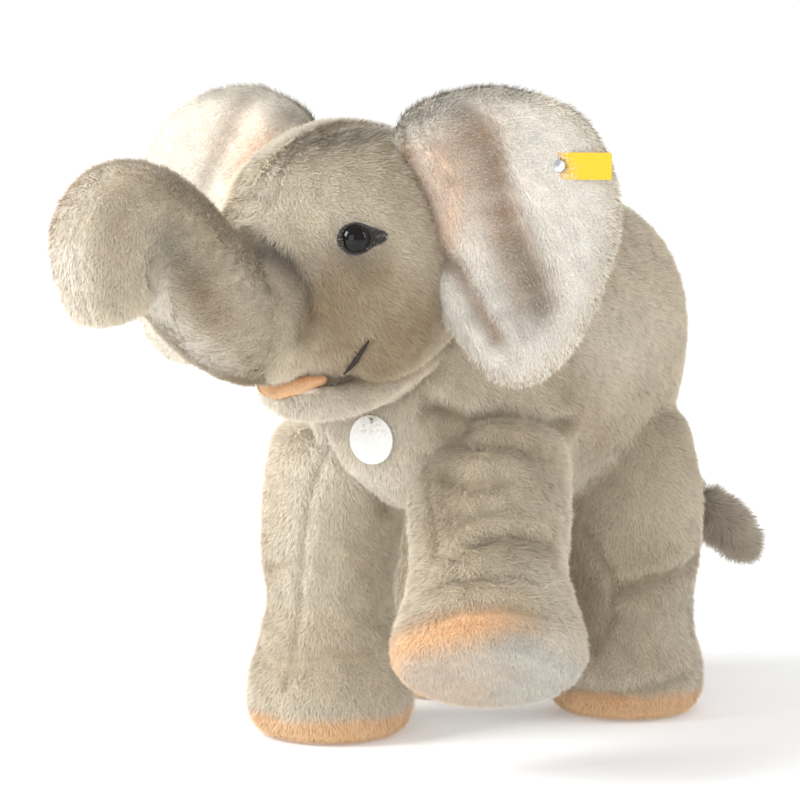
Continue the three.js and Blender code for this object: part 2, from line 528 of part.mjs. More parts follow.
const eyes = ["left", "right"].map((name) => {
  const side = name === "left" ? 1 : -1;
  const { hit, out } = onHead(side, eye.behindBrow - skull.back - skull.length, eye.z);
  const turn = new THREE.Quaternion().setFromUnitVectors(V(0, 1, 0), out);
  const seat = eyePatch.thickness + 3 * SEAM + 0.3;
  const set = (geometry) => geometry.applyQuaternion(turn).translate(...hit.toArray());
  const half = [];
  for (let i = 0; i <= 4; i += 1) {
    const t = (i / 4) * (Math.PI / 2);
    half.push(new THREE.Vector2(eye.radius * Math.cos(t), seat + 1.4 + eye.dome * Math.sin(t)));
  }
  half[half.length - 1].x = 0;
  const end = -CLOTH - eye.shankLength;
  const profile = [
    new THREE.Vector2(0, end), new THREE.Vector2(eye.shank, end), new THREE.Vector2(eye.shank, seat),
    new THREE.Vector2(eye.radius, seat), ...half,
  ];
  const washerAt = -CLOTH - 6;
  const ring = (r0, r1, y0, y1) => new THREE.LatheGeometry([
    new THREE.Vector2(r0, y0), new THREE.Vector2(r1, y0), new THREE.Vector2(r1, y1), new THREE.Vector2(r0, y1),
    new THREE.Vector2(r0, y0)], 14);
  const outline = new THREE.Shape();
  outline.absarc(0, 0, eyePatch.radius, Math.PI * 0.32, Math.PI * 1.68, false);
  outline.lineTo(eyePatch.point, -2);
  outline.closePath();
  const stamp = new THREE.ExtrudeGeometry(outline, { depth: 24, bevelEnabled: false, curveSegments: 8 })
    .translate(0, 0, -12);
  // The point of the patch runs back from the eye: the outline's x lies along the head's back.
  const backward = V(0, 1, 0).addScaledVector(out, -out.y).normalize();
  stamp.applyMatrix4(new THREE.Matrix4().makeBasis(backward, out.clone().cross(backward), out));
  const patch = headShape(SEAM + eyePatch.thickness).subtract(headShape(SEAM))
    .intersect(solidOf(stamp.translate(...hit.toArray())));
  const shankRoom = solidOf(set(rod([0, end - 1, 0], [0, seat - 0.1, 0], eye.shank + SEAM, 12)));
  return {
    name, dome: solidOf(set(new THREE.LatheGeometry(profile, 18))), patch: patch.subtract(shankRoom),
    washer: solidOf(set(ring(eye.shank + SEAM, eye.washer, washerAt - 1, washerAt + 1))),
    room: shankRoom.add(solidOf(set(rod([0, washerAt - 1.5, 0], [0, washerAt + 1.5, 0], eye.washer + 1, 16)))),
    shankRoom,
  };
});

const shell = eyes.reduce((s, one) => s.subtract(one.shankRoom), shellOf(headShape)).subtract(headClear);
const trunkClear = solidOf(trunkGeometry(STUFFING_ROOM + 6, ROOM_SIDES));
const fill = eyes.reduce((s, one) => s.subtract(one.room), solidOf(skullGeometry(-CLOTH - SEAM - 1.6, 14)))
  .subtract(ears.reduce((all, one) => all.add(one.room), trunkClear));
const chinTop = jaw.z + 4;
const chinCut = block([-FAR, -FAR, -FAR], [FAR, jaw.y + jaw.length, chinTop]);
const upper = shell.subtract(block([-FAR, -FAR, -FAR], [FAR, jaw.y + jaw.length + SEAM, chinTop + SEAM]));
const c = crownHalf;
piece(head, "head_side_left", upper.intersect(block([c + SEAM, -FAR, -FAR], [FAR, FAR, FAR])), grey, H);
piece(head, "head_side_right", upper.intersect(block([-FAR, -FAR, -FAR], [-c - SEAM, FAR, FAR])), grey, H);
const middle = upper.intersect(block([-c, -FAR, -FAR], [c, FAR, FAR]));
piece(head, "crown_strip", middle.intersect(block([-FAR, -FAR, skull.centreZ], [FAR, FAR, FAR])), grey, H);
piece(head, "nape_panel", middle.intersect(block([-FAR, -60, -FAR], [FAR, FAR, skull.centreZ - SEAM])), grey, H);
piece(head, "chin_panel", shell.intersect(chinCut), cream, H);
piece(head, "head_stuffing", fill, stuffing, H);
for (const one of eyes) {
  piece(head, `eye_${one.name}`, one.dome, glass, H);
  piece(head, `eye_patch_${one.name}`, one.patch.subtract(headClear), felt, H);
  piece(head, `eye_washer_${one.name}`, one.washer, nylon, H);
}
// The tongue-like mouth lining lies on the jaw, in front of the face and under the trunk.
const lining = solidOf(jawGeometry(SEAM + 1.6)).subtract(solidOf(jawGeometry(SEAM)))
  .intersect(block([-30, -FAR, jaw.z + 3], [30, jaw.y - 8, FAR]))
  .subtract(solidOf(skullGeometry(SEAM))).subtract(trunkRoom);
piece(head, "mouth_lining", lining, peach, H);
for (const name of ["left", "right"]) {
  const side = name === "left" ? 1 : -1;
  const line = [stitch.from, stitch.to].map(([behind, z]) => onHead(side, behind - skull.back - skull.length, z));
  const points = line.map(({ hit, out }) => hit.clone().addScaledVector(out, 0.9 + stitch.radius).toArray());
  const thickLine = solidOf(rod(points[0], points[1], stitch.radius, 8));
  piece(head, `mouth_stitch_${name}`, thickLine.subtract(headShape(SEAM)), thread, H);
}

// ---------------------------------------------------------------- trunk pieces
const atHead = (point) => V(...point).applyMatrix4(H.matrixWorld).toArray();
const trunkBody = bodyAt(head, "trunk", atHead(trunkPivot));
const trunkHollow = (shape) => (d) => solidOf(shape(d));
const trunkShell = shellOf(trunkHollow(trunkGeometry)).subtract(tipRoom);
const band = stripBand(0, trunkSplit);
piece(trunkBody, "trunk_cover", trunkShell.subtract(stripBandGrown(band)), grey, H);
piece(trunkBody, "trunk_strip", trunkShell.intersect(band), cream, H);
piece(trunkBody, "trunk_stuffing", fillOf(trunkHollow(trunkGeometry)).subtract(tipClear), stuffing, H);

const tipBody = bodyAt(trunkBody, "trunk_end", atHead(curlPivot));
const tipShell = shellOf(trunkHollow(tipGeometry));
const tipBand = stripBand(trunkSplit, spine.length - 1);
piece(tipBody, "trunk_end_cover", tipShell.subtract(stripBandGrown(tipBand)), grey, H);
piece(tipBody, "trunk_end_strip", tipShell.intersect(tipBand), cream, H);
piece(tipBody, "trunk_end_stuffing", fillOf(trunkHollow(tipGeometry)), stuffing, H);

/** The strip's band and the seam gap on both sides of it. */
function stripBandGrown(solid) {
  const wide = geometryOf(solid).scale((trunk.strip + SEAM) / trunk.strip, 1, 1);
  return solid.add(solidOf(wide));
}

// ---------------------------------------------------------------- ear pieces
for (const one of ears) {
  const body = bodyAt(head, `ear_${one.name}`, atHead(one.pivot.toArray()));
  let front = solidOf(one.front());
  let back = solidOf(one.back());
  if (one.name === "left") {
    // The steel button is riveted through both layers, with its cap behind and the flag under it.
    const x = one.side * button.along;
    const fold = -ear.cup * Math.sin((button.along / 135) * Math.PI) * 0.5;
    const face = -SEAM / 2 - ear.layer + fold;
    const rear = SEAM / 2 + ear.layer + fold;
    const lathe = (pairs) => new THREE.LatheGeometry(pairs.map(([r, y]) => new THREE.Vector2(r, y)), 18)
      .translate(x, 0, button.z);
    const lift1 = face - 2 * SEAM - flag.thickness - 1.2;
    const rivet = one.shear(lathe([
      [0, rear + 3], [button.shank, rear + 3], [button.shank, lift1], [button.radius, lift1],
      [button.radius * 0.85, lift1 - button.thickness * 0.8], [0, lift1 - button.thickness]]));
    const washer = one.shear(lathe([
      [button.shank + SEAM, rear + 0.9], [button.radius, rear + 0.9], [button.radius, rear + 1.9],
      [button.shank + SEAM, rear + 1.9], [button.shank + SEAM, rear + 0.9]]));
    const hole = solidOf(one.shear(lathe([
      [0, rear + 8], [button.shank + SEAM, rear + 8], [button.shank + SEAM, face - 8], [0, face - 8]])));
    front = front.subtract(hole);
    back = back.subtract(hole);
    piece(body, "ear_button", solidOf(rivet), steel, H);
    piece(body, "ear_button_washer", solidOf(washer), steel, H);
    const cloth1 = new THREE.BoxGeometry(flag.length, flag.thickness, flag.width)
      .translate(x + flag.length / 2 - 5, lift1 + 0.5 + flag.thickness / 2, button.z);
    const eyelet = new THREE.CylinderGeometry(flag.hole, flag.hole, 12, 14).translate(x, lift1, button.z);
    const pivot = V(x, lift1, button.z).applyMatrix4(one.place).toArray();
    const flagBody = bodyAt(body, "flag", atHead(pivot));
    piece(flagBody, "ear_flag", solidOf(cloth1).subtract(solidOf(eyelet)), ribbon, {
      matrixWorld: H.matrixWorld.clone().multiply(one.place),
    });
  }
  piece(body, `ear_front_${one.name}`, front, innerEar, H);
  piece(body, `ear_back_${one.name}`, back, grey, H);
}

// ---------------------------------------------------------------- origin: middle of the footprint
elephant.updateMatrixWorld(true);
const extent = new THREE.Box3().setFromObject(elephant, true);
const middleOf = extent.getCenter(V(0, 0, 0));
elephant.position.set(-middleOf.x, -middleOf.y, -extent.min.z);

export default elephant;
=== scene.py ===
"""A large stuffed elephant in short grey-beige plush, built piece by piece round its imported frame.

Lengths on the dataclasses are millimetres and are turned into metres where a mesh is made. The
toy stands on z = 0, looks along -Y and has its own left on +X.
"""
import logging
import math
from dataclasses import dataclass, field, replace
from enum import Enum
from typing import Callable, Optional, Sequence, Union

import bmesh
import bpy
import numpy as np
from mathutils import Matrix, Vector
from mathutils.bvhtree import BVHTree


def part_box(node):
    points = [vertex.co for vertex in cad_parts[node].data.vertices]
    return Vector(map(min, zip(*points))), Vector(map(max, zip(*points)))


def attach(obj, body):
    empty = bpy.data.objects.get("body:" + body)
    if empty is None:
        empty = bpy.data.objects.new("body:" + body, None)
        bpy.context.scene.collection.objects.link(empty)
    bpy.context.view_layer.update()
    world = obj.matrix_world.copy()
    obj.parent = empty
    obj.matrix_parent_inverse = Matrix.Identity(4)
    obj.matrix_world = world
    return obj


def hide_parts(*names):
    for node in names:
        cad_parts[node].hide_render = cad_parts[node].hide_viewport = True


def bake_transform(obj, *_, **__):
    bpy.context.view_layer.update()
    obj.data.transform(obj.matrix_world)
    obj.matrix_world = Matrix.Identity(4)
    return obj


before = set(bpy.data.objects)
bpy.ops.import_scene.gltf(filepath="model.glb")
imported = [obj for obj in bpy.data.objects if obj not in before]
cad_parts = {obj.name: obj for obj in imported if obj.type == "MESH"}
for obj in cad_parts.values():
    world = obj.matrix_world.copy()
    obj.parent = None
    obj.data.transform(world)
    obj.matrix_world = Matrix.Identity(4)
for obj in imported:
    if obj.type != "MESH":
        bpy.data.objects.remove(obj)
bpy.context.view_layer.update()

MM = 0.001
STROKES_SHIFT = (12.158, 41.564, 0.0)  # the layout's shift when the torso's strokes were placed
EYE_AT = (69.5, -99.0, 335.6)  # the left eye in the head's own frame
log = logging.getLogger("elephant")
Array = np.ndarray
Triple = tuple[float, float, float]


# ------------------------------------------------------------------ number helpers
def unit(v: Array) -> Array:
    """Vectors scaled to length one."""
    return v / np.maximum(np.linalg.norm(v, axis=-1, keepdims=True), 1e-9)


def smooth(x: Array) -> Array:
    """A soft step from 0 to 1."""
    x = np.clip(x, 0.0, 1.0)
    return x * x * (3 - 2 * x)


def over(colour: Array, tone: Array, amount: Array) -> Array:
    """Colours with some of a tone laid over them.

    Args:
        colour: the colours so far.
        tone: one colour, or one for each point.
        amount: how much of it each point takes, from 0 to 1.
    Returns:
        The new colours.
    """
    return colour * (1 - amount[:, None]) + tone * amount[:, None]


def waves(p: Array, size: float, seed: int, count: int = 7) -> Array:
    """Smooth noise between about -1 and 1.

    Args:
        p: points in millimetres.
        size: width of a typical patch in millimetres.
        seed: which pattern.
        count: how many waves are summed.
    Returns:
        One value for each point.
    """
    rng = np.random.default_rng(seed)
    way = unit(rng.normal(size=(count, 3))) * rng.uniform(0.7, 1.5, (count, 1)) * (math.pi / size)
    phase = rng.uniform(0, 2 * math.pi, count)
    return np.sin(p @ way.T + phase).sum(axis=1) * (1.5 / count)


def reach(p: Array, line: Sequence[Triple]) -> Array:
    """Distance from points to a line of points, or to a single one."""
    pts = np.array(line, float)
    if len(pts) == 1:
        return np.linalg.norm(p - pts[0], axis=1)
    best = np.full(len(p), 1e9)
    for a, b in zip(pts[:-1], pts[1:]):
        ab = b - a
        t = np.clip(((p - a) @ ab) / max(ab @ ab, 1e-9), 0, 1)
        best = np.minimum(best, np.linalg.norm(p - (a + t[:, None] * ab), axis=1))
    return best


def linear(red: int, green: int, blue: int) -> Array:
    """A colour given in 0..255 as the light it stands for."""
    c = np.array([red, green, blue]) / 255
    return np.where(c <= 0.04045, c / 12.92, ((c + 0.055) / 1.055) ** 2.4)


# ------------------------------------------------------------------ shader helpers
class Sock:
    """A node's output socket on which sums can be written as expressions."""

    def __init__(self, tree: "Tree", socket: bpy.types.NodeSocket) -> None:
        """Wraps one output of a tree."""
        self.tree, self.socket = tree, socket

    def _op(self, kind: str, a: object, b: object) -> "Sock":
        """One Math node."""
        return self.tree.node("ShaderNodeMath", {"operation": kind}, {0: a, 1: b})

    def __add__(self, other: object) -> "Sock":
        """Sum."""
        return self._op("ADD", self, other)

    def __mul__(self, other: object) -> "Sock":
        """Product."""
        return self._op("MULTIPLY", self, other)

    __radd__, __rmul__ = __add__, __mul__


class Tree:
    """One material's node tree."""

    def __init__(self, name: str) -> None:
        """Makes an empty material with a Principled shader.

        Args:
            name: the material's name.
        """
        self.material = bpy.data.materials.new(name)
        self.material.use_nodes = True
        self.tree = self.material.node_tree
        self.shader = next(n for n in self.tree.nodes if n.type == "BSDF_PRINCIPLED")

    def put(self, target: bpy.types.NodeSocket, value: object) -> None:
        """Links or sets one input socket."""
        if isinstance(value, Sock):
            self.tree.links.new(value.socket, target)
        elif isinstance(value, (tuple, list, np.ndarray)) and len(target.default_value) == 4:
            target.default_value = [*map(float, value)][:3] + [1.0]
        else:
            target.default_value = value

    def node(self, kind: str, settings: Optional[dict] = None, inputs: Optional[dict] = None,
             out: Union[int, str] = 0) -> Sock:
        """Adds a node.

        Args:
            kind: the node's type.
            settings: its properties.
            inputs: values or links by socket name or number.
            out: which output is wanted.
        Returns:
            That output.
        """
        made = self.tree.nodes.new(kind)
        for key, value in (settings or {}).items():
            setattr(made, key, value)
        for key, value in (inputs or {}).items():
            self.put(made.inputs[key], value)
        return Sock(self, made.outputs[out])

    def mix(self, factor: object, a: object, b: object) -> Sock:
        """A colour between a and b."""
        made = self.tree.nodes.new("ShaderNodeMix")
        made.data_type = "RGBA"
        for index, value in ((0, factor), (6, a), (7, b)):
            self.put(made.inputs[index], value)
        return Sock(self, made.outputs[2])

    def place(self) -> Sock:
        """The point's own place on the object."""
        return self.node("ShaderNodeTexCoord", out="Object")

    def noise(self, size: float, detail: float = 4.0) -> Sock:
        """Noise with patches of about that many millimetres."""
        return self.node("ShaderNodeTexNoise", {}, {"Vector": self.place(), "Scale": 1 / (size * MM),
                                                    "Detail": detail})

    def bump(self, height: object, depth: float, strength: float = 0.6) -> None:
        """Feeds a height in millimetres to the shader's normal."""
        self.put(self.shader.inputs["Normal"], self.node(
            "ShaderNodeBump", {}, {"Height": height, "Distance": depth * MM, "Strength": strength}))

    def finish(self, **values: object) -> bpy.types.Material:
        """Sets the shader's sockets, named with _ for a space, and gives the material."""
        for key, value in values.items():
            self.put(self.shader.inputs[key.replace("_", " ")], value)
        return self.material


@dataclass(frozen=True)
class PlushFinish:
    """The soft pile or its backing; colour comes from the mesh's own coat attribute, and the backing darkens
    it as painted shade under the pile.
    """

    name: str
    depth: float = 1.0
    sheen: float = 0.35
    grain: float = 0.0

    def material(self) -> bpy.types.Material:
        """Builds the material."""
        t = Tree(self.name)
        coat = t.node("ShaderNodeAttribute", {"attribute_name": "Coat"}, out="Color")
        # a depth below 1 darkens the coat towards its square in noisy patches: painted shade under the pile
        shade = t.noise(1.6, 3.0) * (1 - self.depth) * 0.6 + self.depth
        dark = t.mix(1.0, coat, coat)
        dark.socket.node.blend_type = "MULTIPLY"
        if self.depth < 1:
            coat = t.mix(shade, dark, coat)
        if self.grain:
            t.bump(t.noise(1.2, 4.0), self.grain)
        return t.finish(Base_Color=coat, Roughness=0.95, Specular_IOR_Level=0.12,
                        Sheen_Weight=self.sheen, Sheen_Roughness=0.45, Sheen_Tint=(0.98, 0.95, 0.9))


@dataclass(frozen=True)
class SolidFinish:
    """A finish of one colour with fine variation: felt, thread, steel, card, ribbon, glass or nylon."""

    name: str
    colour: Triple
    other: Triple
    grain: float = 1.0
    relief: float = 0.1
    rough: float = 0.8
    metal: float = 0.0
    coat: float = 0.0
    sheen: float = 0.0
    gloss: float = 0.5

    def material(self) -> bpy.types.Material:
        """Builds the material."""
        t = Tree(self.name)
        mottle = t.noise(self.grain, 5.0)
        tone = t.mix(mottle, linear(*self.colour), linear(*self.other))
        if self.relief:
            t.bump(mottle, self.relief)
        return t.finish(Base_Color=tone, Roughness=mottle * 0.12 + (self.rough - 0.06), Metallic=self.metal,
                        Coat_Weight=self.coat, Coat_Roughness=0.04, Sheen_Weight=self.sheen,
                        Specular_IOR_Level=self.gloss)


@dataclass(frozen=True)
class WovenFinish:
    """A ribbon's plain weave: two crossed sets of threads."""

    name: str
    colour: Triple
    dark: Triple
    thread: float = 0.45

    def material(self) -> bpy.types.Material:
        """Builds the material."""
        t = Tree(self.name)
        waved = [t.node("ShaderNodeTexWave", {"bands_direction": way}, {
            "Vector": t.place(), "Scale": 0.31 / (self.thread * MM), "Distortion": 0.4}, out="Fac")
            for way in "XZ"]
        weave = waved[0] * waved[1]
        tone = t.mix(weave * 0.8 + 0.2, linear(*self.dark), linear(*self.colour))
        t.bump(weave, 0.15)
        return t.finish(Base_Color=tone, Roughness=0.7, Sheen_Weight=0.2)


# ------------------------------------------------------------------ colours
class Tone(Enum):
    """The plush colours of the toy, some also used for painted shade, as 0..255 values."""

    GREY = (222, 209, 186)
    PALE = (234, 226, 211)
    BROWN = (168, 148, 120)
    SMOKE = (142, 138, 128)
    SLATE = (104, 102, 98)
    CREAM = (240, 233, 220)
    IVORY = (240, 232, 219)
    WHITE = (235, 230, 221)
    SOLE = (206, 201, 190)
    PINK = (226, 200, 180)
    PEACH = (249, 205, 160)
    TAUPE = (170, 140, 112)
    TUFT = (188, 178, 162)

    @property
    def light(self) -> Array:
        """The colour as linear light."""
        return linear(*self.value)


@dataclass(frozen=True)
class Tint:
    """Colour along a line or round a point: airbrushed colour, and in places painted shade."""

    line: Sequence[Triple]
    radius: float
    tone: Tone
    strength: float = 0.7
    squash: Triple = (1.0, 1.0, 1.0)

    def apply(self, p: Array, colour: Array) -> Array:
        """Blends the colour in.

        Args:
            p: points in millimetres.
            colour: their colours.
        Returns:
            The new colours.
        """
        k = np.array(self.squash)
        d = reach(p * k, [tuple(np.array(q) * k) for q in self.line])
        w = self.strength * np.exp(-((d / self.radius) ** 2))
        w = (w * (1 + 0.25 * waves(p, 9, 71)))[:, None].clip(0, 1)
        return colour * (1 - w) + self.tone.light * w


@dataclass(frozen=True)
class Crease:
    """A seam, fold or pinch pressed into the cloth along a line."""

    line: Sequence[Triple]
    width: float = 4.0
    depth: float = 2.5
    lip: float = 0.5
    # dark: how strong the painted shade in the crease is
    dark: float = 0.35

    def press(self, p: Array, n: Array) -> Array:
        """The points after the crease is pressed in.

        Args:
            p: points in millimetres.
            n: their outward directions.
        Returns:
            The moved points.
        """
        d = reach(p, self.line) / self.width
        down = np.exp(-(d ** 2))
        up = np.exp(-((d - 1.9) ** 2) / 0.8)
        return p + n * (self.lip * up - self.depth * down)[:, None]

    def pile(self, p: Array) -> Array:
        """How long the pile stays near the crease, from 0 to 1."""
        return 1 - 0.55 * np.exp(-((reach(p, self.line) / (self.width * 0.5)) ** 2))

    def shade(self, p: Array, colour: Array) -> Array:
        """Darkens the colour in the crease: painted shade where the groove's shadow falls."""
        w = self.dark * np.exp(-((reach(p, self.line) / (self.width * 0.75)) ** 2))
        return colour * (1 - w[:, None] * np.array([0.8, 0.88, 1.0]))


@dataclass(frozen=True)
class Swell:
    """A soft bulge, or with a negative height a hollow."""

    line: Sequence[Triple]
    radius: float
    height: float

    def press(self, p: Array, n: Array) -> Array:
        """The points after the bulge is raised."""
        return p + n * (self.height * np.exp(-((reach(p, self.line) / self.radius) ** 2)))[:, None]


# ------------------------------------------------------------------ mesh helpers
def pick(obj: bpy.types.Object) -> bpy.types.Object:
    """Makes one object the only selected and active one."""
    if bpy.context.object and bpy.context.object.mode != "OBJECT":
        bpy.ops.object.mode_set(mode="OBJECT")
    bpy.ops.object.select_all(action="DESELECT")
    obj.select_set(True)
    bpy.context.view_layer.objects.active = obj
    return obj


def turn_outward(obj: bpy.types.Object) -> None:
    """Picks a closed mesh and turns its faces outward."""
    pick(obj)
    bpy.ops.object.mode_set(mode="EDIT")
    bpy.ops.mesh.select_all(action="SELECT")
    bpy.ops.mesh.normals_make_consistent(inside=False)
    bpy.ops.object.mode_set(mode="OBJECT")


def new_object(name: str, verts: Array, faces: Sequence) -> bpy.types.Object:
    """A mesh object from points in metres and faces."""
    mesh = bpy.data.meshes.new(name)
    mesh.from_pydata([tuple(v) for v in verts], [], [tuple(f) for f in faces])
    mesh.update()
    obj = bpy.data.objects.new(name, mesh)
    bpy.context.scene.collection.objects.link(obj)
    return obj


def points_of(mesh: bpy.types.Mesh) -> Array:
    """A mesh's points in millimetres."""
    flat = np.empty(len(mesh.vertices) * 3)
    mesh.vertices.foreach_get("co", flat)
    return flat.reshape(-1, 3) / MM


def move_points(mesh: bpy.types.Mesh, p: Array) -> None:
    """Puts a mesh's points at places in millimetres."""
    mesh.vertices.foreach_set("co", (p * MM).ravel())
    mesh.update()


def normals_of(mesh: bpy.types.Mesh) -> Array:
    """A mesh's outward direction at each point."""
    flat = np.empty(len(mesh.vertices) * 3, np.float32)
    mesh.vertex_normals.foreach_get("vector", flat)
    return flat.reshape(-1, 3).astype(float)


def write(mesh: bpy.types.Mesh, name: str, kind: str, values: Array) -> None:
    """Stores one value, vector or colour for each point."""
    key = {"FLOAT": "value", "FLOAT_VECTOR": "vector", "FLOAT_COLOR": "color"}[kind]
    if kind == "FLOAT_COLOR":
        values = np.concatenate([values, np.ones((len(values), 1))], axis=1)
    made = mesh.attributes.get(name) or mesh.attributes.new(name, kind, "POINT")
    made.data.foreach_set(key, np.ascontiguousarray(values, np.float32).ravel())


def read(mesh: bpy.types.Mesh, name: str) -> Array:
    """Values stored by write()."""
    made = mesh.attributes[name]
    key, width = {"FLOAT": ("value", 1), "FLOAT_VECTOR": ("vector", 3),
                  "FLOAT_COLOR": ("color", 4)}[made.data_type]
    flat = np.empty(len(mesh.vertices) * width, np.float32)
    made.data.foreach_get(key, flat)
    return flat.reshape(-1, width).astype(float)


def copy_nodes(name: str, nodes: Sequence[str]) -> bpy.types.Object:
    """One merged copy of several frame nodes."""
    made = bmesh.new()
    for node in nodes:
        made.from_mesh(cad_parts[node].data)
    bmesh.ops.remove_doubles(made, verts=made.verts, dist=1e-6)
    mesh = bpy.data.meshes.new(name)
    made.to_mesh(mesh)
    made.free()
    obj = bpy.data.objects.new(name, mesh)
    bpy.context.scene.collection.objects.link(obj)
    return obj


def keep_largest(obj: bpy.types.Object) -> None:
    """Drops everything but the shell with the largest box, such as closed hollows inside."""
    made = bmesh.new()
    made.from_mesh(obj.data)
    made.verts.ensure_lookup_table()
    seen, best, size = set(), None, -1.0
    for start in made.verts:
        if start.index in seen:
            continue
        stack, island = [start], []
        seen.add(start.index)
        while stack:
            v = stack.pop()
            island.append(v)
            for e in v.link_edges:
                o = e.other_vert(v)
                if o.index not in seen:
                    seen.add(o.index)
                    stack.append(o)
        p = np.array([v.co for v in island])
        extent = float(np.linalg.norm(p.max(0) - p.min(0)))
        if extent > size:
            best, size = island, extent
    keep = set(v.index for v in best)
    bmesh.ops.delete(made, geom=[v for v in made.verts if v.index not in keep], context="VERTS")
    made.to_mesh(obj.data)
    made.free()


def remesh(obj: bpy.types.Object, voxel: float, rounds: int) -> None:
    """Fuses an object's shells into one even skin and relaxes it.

    Args:
        obj: the object.
        voxel: spacing in millimetres.
        rounds: smoothing rounds.
    """
    pick(obj)
    bpy.ops.object.modifier_add(type="REMESH")
    m = obj.modifiers[-1]
    m.mode, m.voxel_size = "VOXEL", voxel * MM
    bpy.ops.object.modifier_apply(modifier=m.name)
    keep_largest(obj)
    bpy.ops.object.modifier_add(type="SMOOTH")
    m = obj.modifiers[-1]
    m.factor, m.iterations = 0.5, rounds
    bpy.ops.object.modifier_apply(modifier=m.name)
    for poly in obj.data.polygons:
        poly.use_smooth = True


def cut(obj: bpy.types.Object, name: str, place: Array, away: Array, keep_away: bool) -> bpy.types.Object:
    """A closed copy of the part of an object on one side of a plane.

    Args:
        obj: what is cut.
        name: the new object's name.
        place: a point of the plane in millimetres.
        away: the plane's direction.
        keep_away: whether the side that the direction points to is kept.
    Returns:
        The new object.
    """
    made = obj.copy()
    made.data = obj.data.copy()
    made.name = made.data.name = name
    bpy.context.scene.collection.objects.link(made)
    pick(made)
    bpy.ops.object.mode_set(mode="EDIT")
    bpy.ops.mesh.select_all(action="SELECT")
    bpy.ops.mesh.bisect(plane_co=tuple(np.array(place) * MM), plane_no=tuple(away), use_fill=True,
                        clear_inner=keep_away, clear_outer=not keep_away, threshold=1e-6)
    bpy.ops.object.mode_set(mode="OBJECT")
    return made


def split_loose(obj: bpy.types.Object) -> list[bpy.types.Object]:
    """The separate shells of an object as objects of their own."""
    pick(obj)
    bpy.ops.object.mode_set(mode="EDIT")
    bpy.ops.mesh.select_all(action="SELECT")
    bpy.ops.mesh.separate(type="LOOSE")
    bpy.ops.object.mode_set(mode="OBJECT")
    return list(bpy.context.selected_objects)


@dataclass(frozen=True)
class Loft:
    """A soft closed form: rounded rings along a smooth line through stations.

    Each station is its centre and the ring's half width and half height.
    """

    stations: Sequence[tuple[Triple, float, float]]
    caps: tuple[float, float] = (14.0, 14.0)
    power: float = 2.0
    sides: int = 56
    steps: int = 7

    def _smooth(self) -> Array:
        """The stations with softly curved ones between them, as rows of x, y, z, a, b."""
        rows = np.array([[*c, a, b] for c, a, b in self.stations], float)
        full = np.vstack([2 * rows[0] - rows[1], rows, 2 * rows[-1] - rows[-2]])
        out = []
        for i in range(1, len(full) - 2):
            p0, p1, p2, p3 = full[i - 1:i + 3]
            for f in np.linspace(0, 1, self.steps, endpoint=False):
                out.append(0.5 * (2 * p1 + (p2 - p0) * f + (2 * p0 - 5 * p1 + 4 * p2 - p3) * f ** 2
                                  + (3 * p1 - p0 - 3 * p2 + p3) * f ** 3))
        return np.array([*out, rows[-1]])

    def mesh(self) -> tuple[Array, list]:
        """Points in millimetres and faces."""
        rows = self._smooth()
        at = rows[:, :3]
        way = unit(np.gradient(at, axis=0))
        t = 2 * math.pi * (np.arange(self.sides) + 0.5) / self.sides
        c, s = np.cos(t), np.sin(t)
        cx, sx = (np.sign(v) * np.abs(v) ** (2 / self.power) for v in (c, s))

        def ring(centre: Array, along: Array, a: float, b: float) -> Array:
            """One ring."""
            u = unit(np.array([1.0, 0, 0]) - along * along[0])
            v = np.cross(along, u)
            return centre + cx[:, None] * u * a + sx[:, None] * v * b

        rings = []
        for end, sign in ((0, -1), (-1, 1)):
            depth = self.caps[0 if end == 0 else 1]
            made = []
            if depth:
                for k in np.linspace(0.12, 1.5, 9):
                    made.append(ring(at[end] + way[end] * sign * depth * math.sin(k), way[end],
                                     rows[end, 3] * math.cos(k), rows[end, 4] * math.cos(k)))
            if end == 0:
                rings = made[::-1] + [ring(at[i], way[i], *rows[i, 3:]) for i in range(len(rows))]
            else:
                rings += made
        n, verts = self.sides, np.concatenate(rings)
        faces = []
        for r in range(len(rings) - 1):
            for i in range(n):
                j = (i + 1) % n
                faces.append((r * n + i, r * n + j, (r + 1) * n + j, (r + 1) * n + i))
        last = (len(rings) - 1) * n
        faces += [tuple(range(n - 1, -1, -1)), tuple(range(last, last + n))]
        return verts, faces


def loft_object(name: str, lofts: Sequence[Loft], to_row: Callable[[Array], Array]) -> bpy.types.Object:
    """Several lofts in one object, facing out.

    Args:
        name: the object's name.
        lofts: the forms, which may run into each other.
        to_row: takes their points to the row frame.
    Returns:
        The object.
    """
    verts, faces, start = [], [], 0
    for one in lofts:
        v, f = one.mesh()
        verts.append(v)
        faces += [tuple(i + start for i in face) for face in f]
        start += len(v)
    obj = new_object(name, to_row(np.concatenate(verts)) * MM, faces)
    pick(obj)
    bpy.ops.object.mode_set(mode="EDIT")
    bpy.ops.mesh.select_all(action="SELECT")
    bpy.ops.mesh.normals_make_consistent(inside=False)
    bpy.ops.object.mode_set(mode="OBJECT")
    return obj


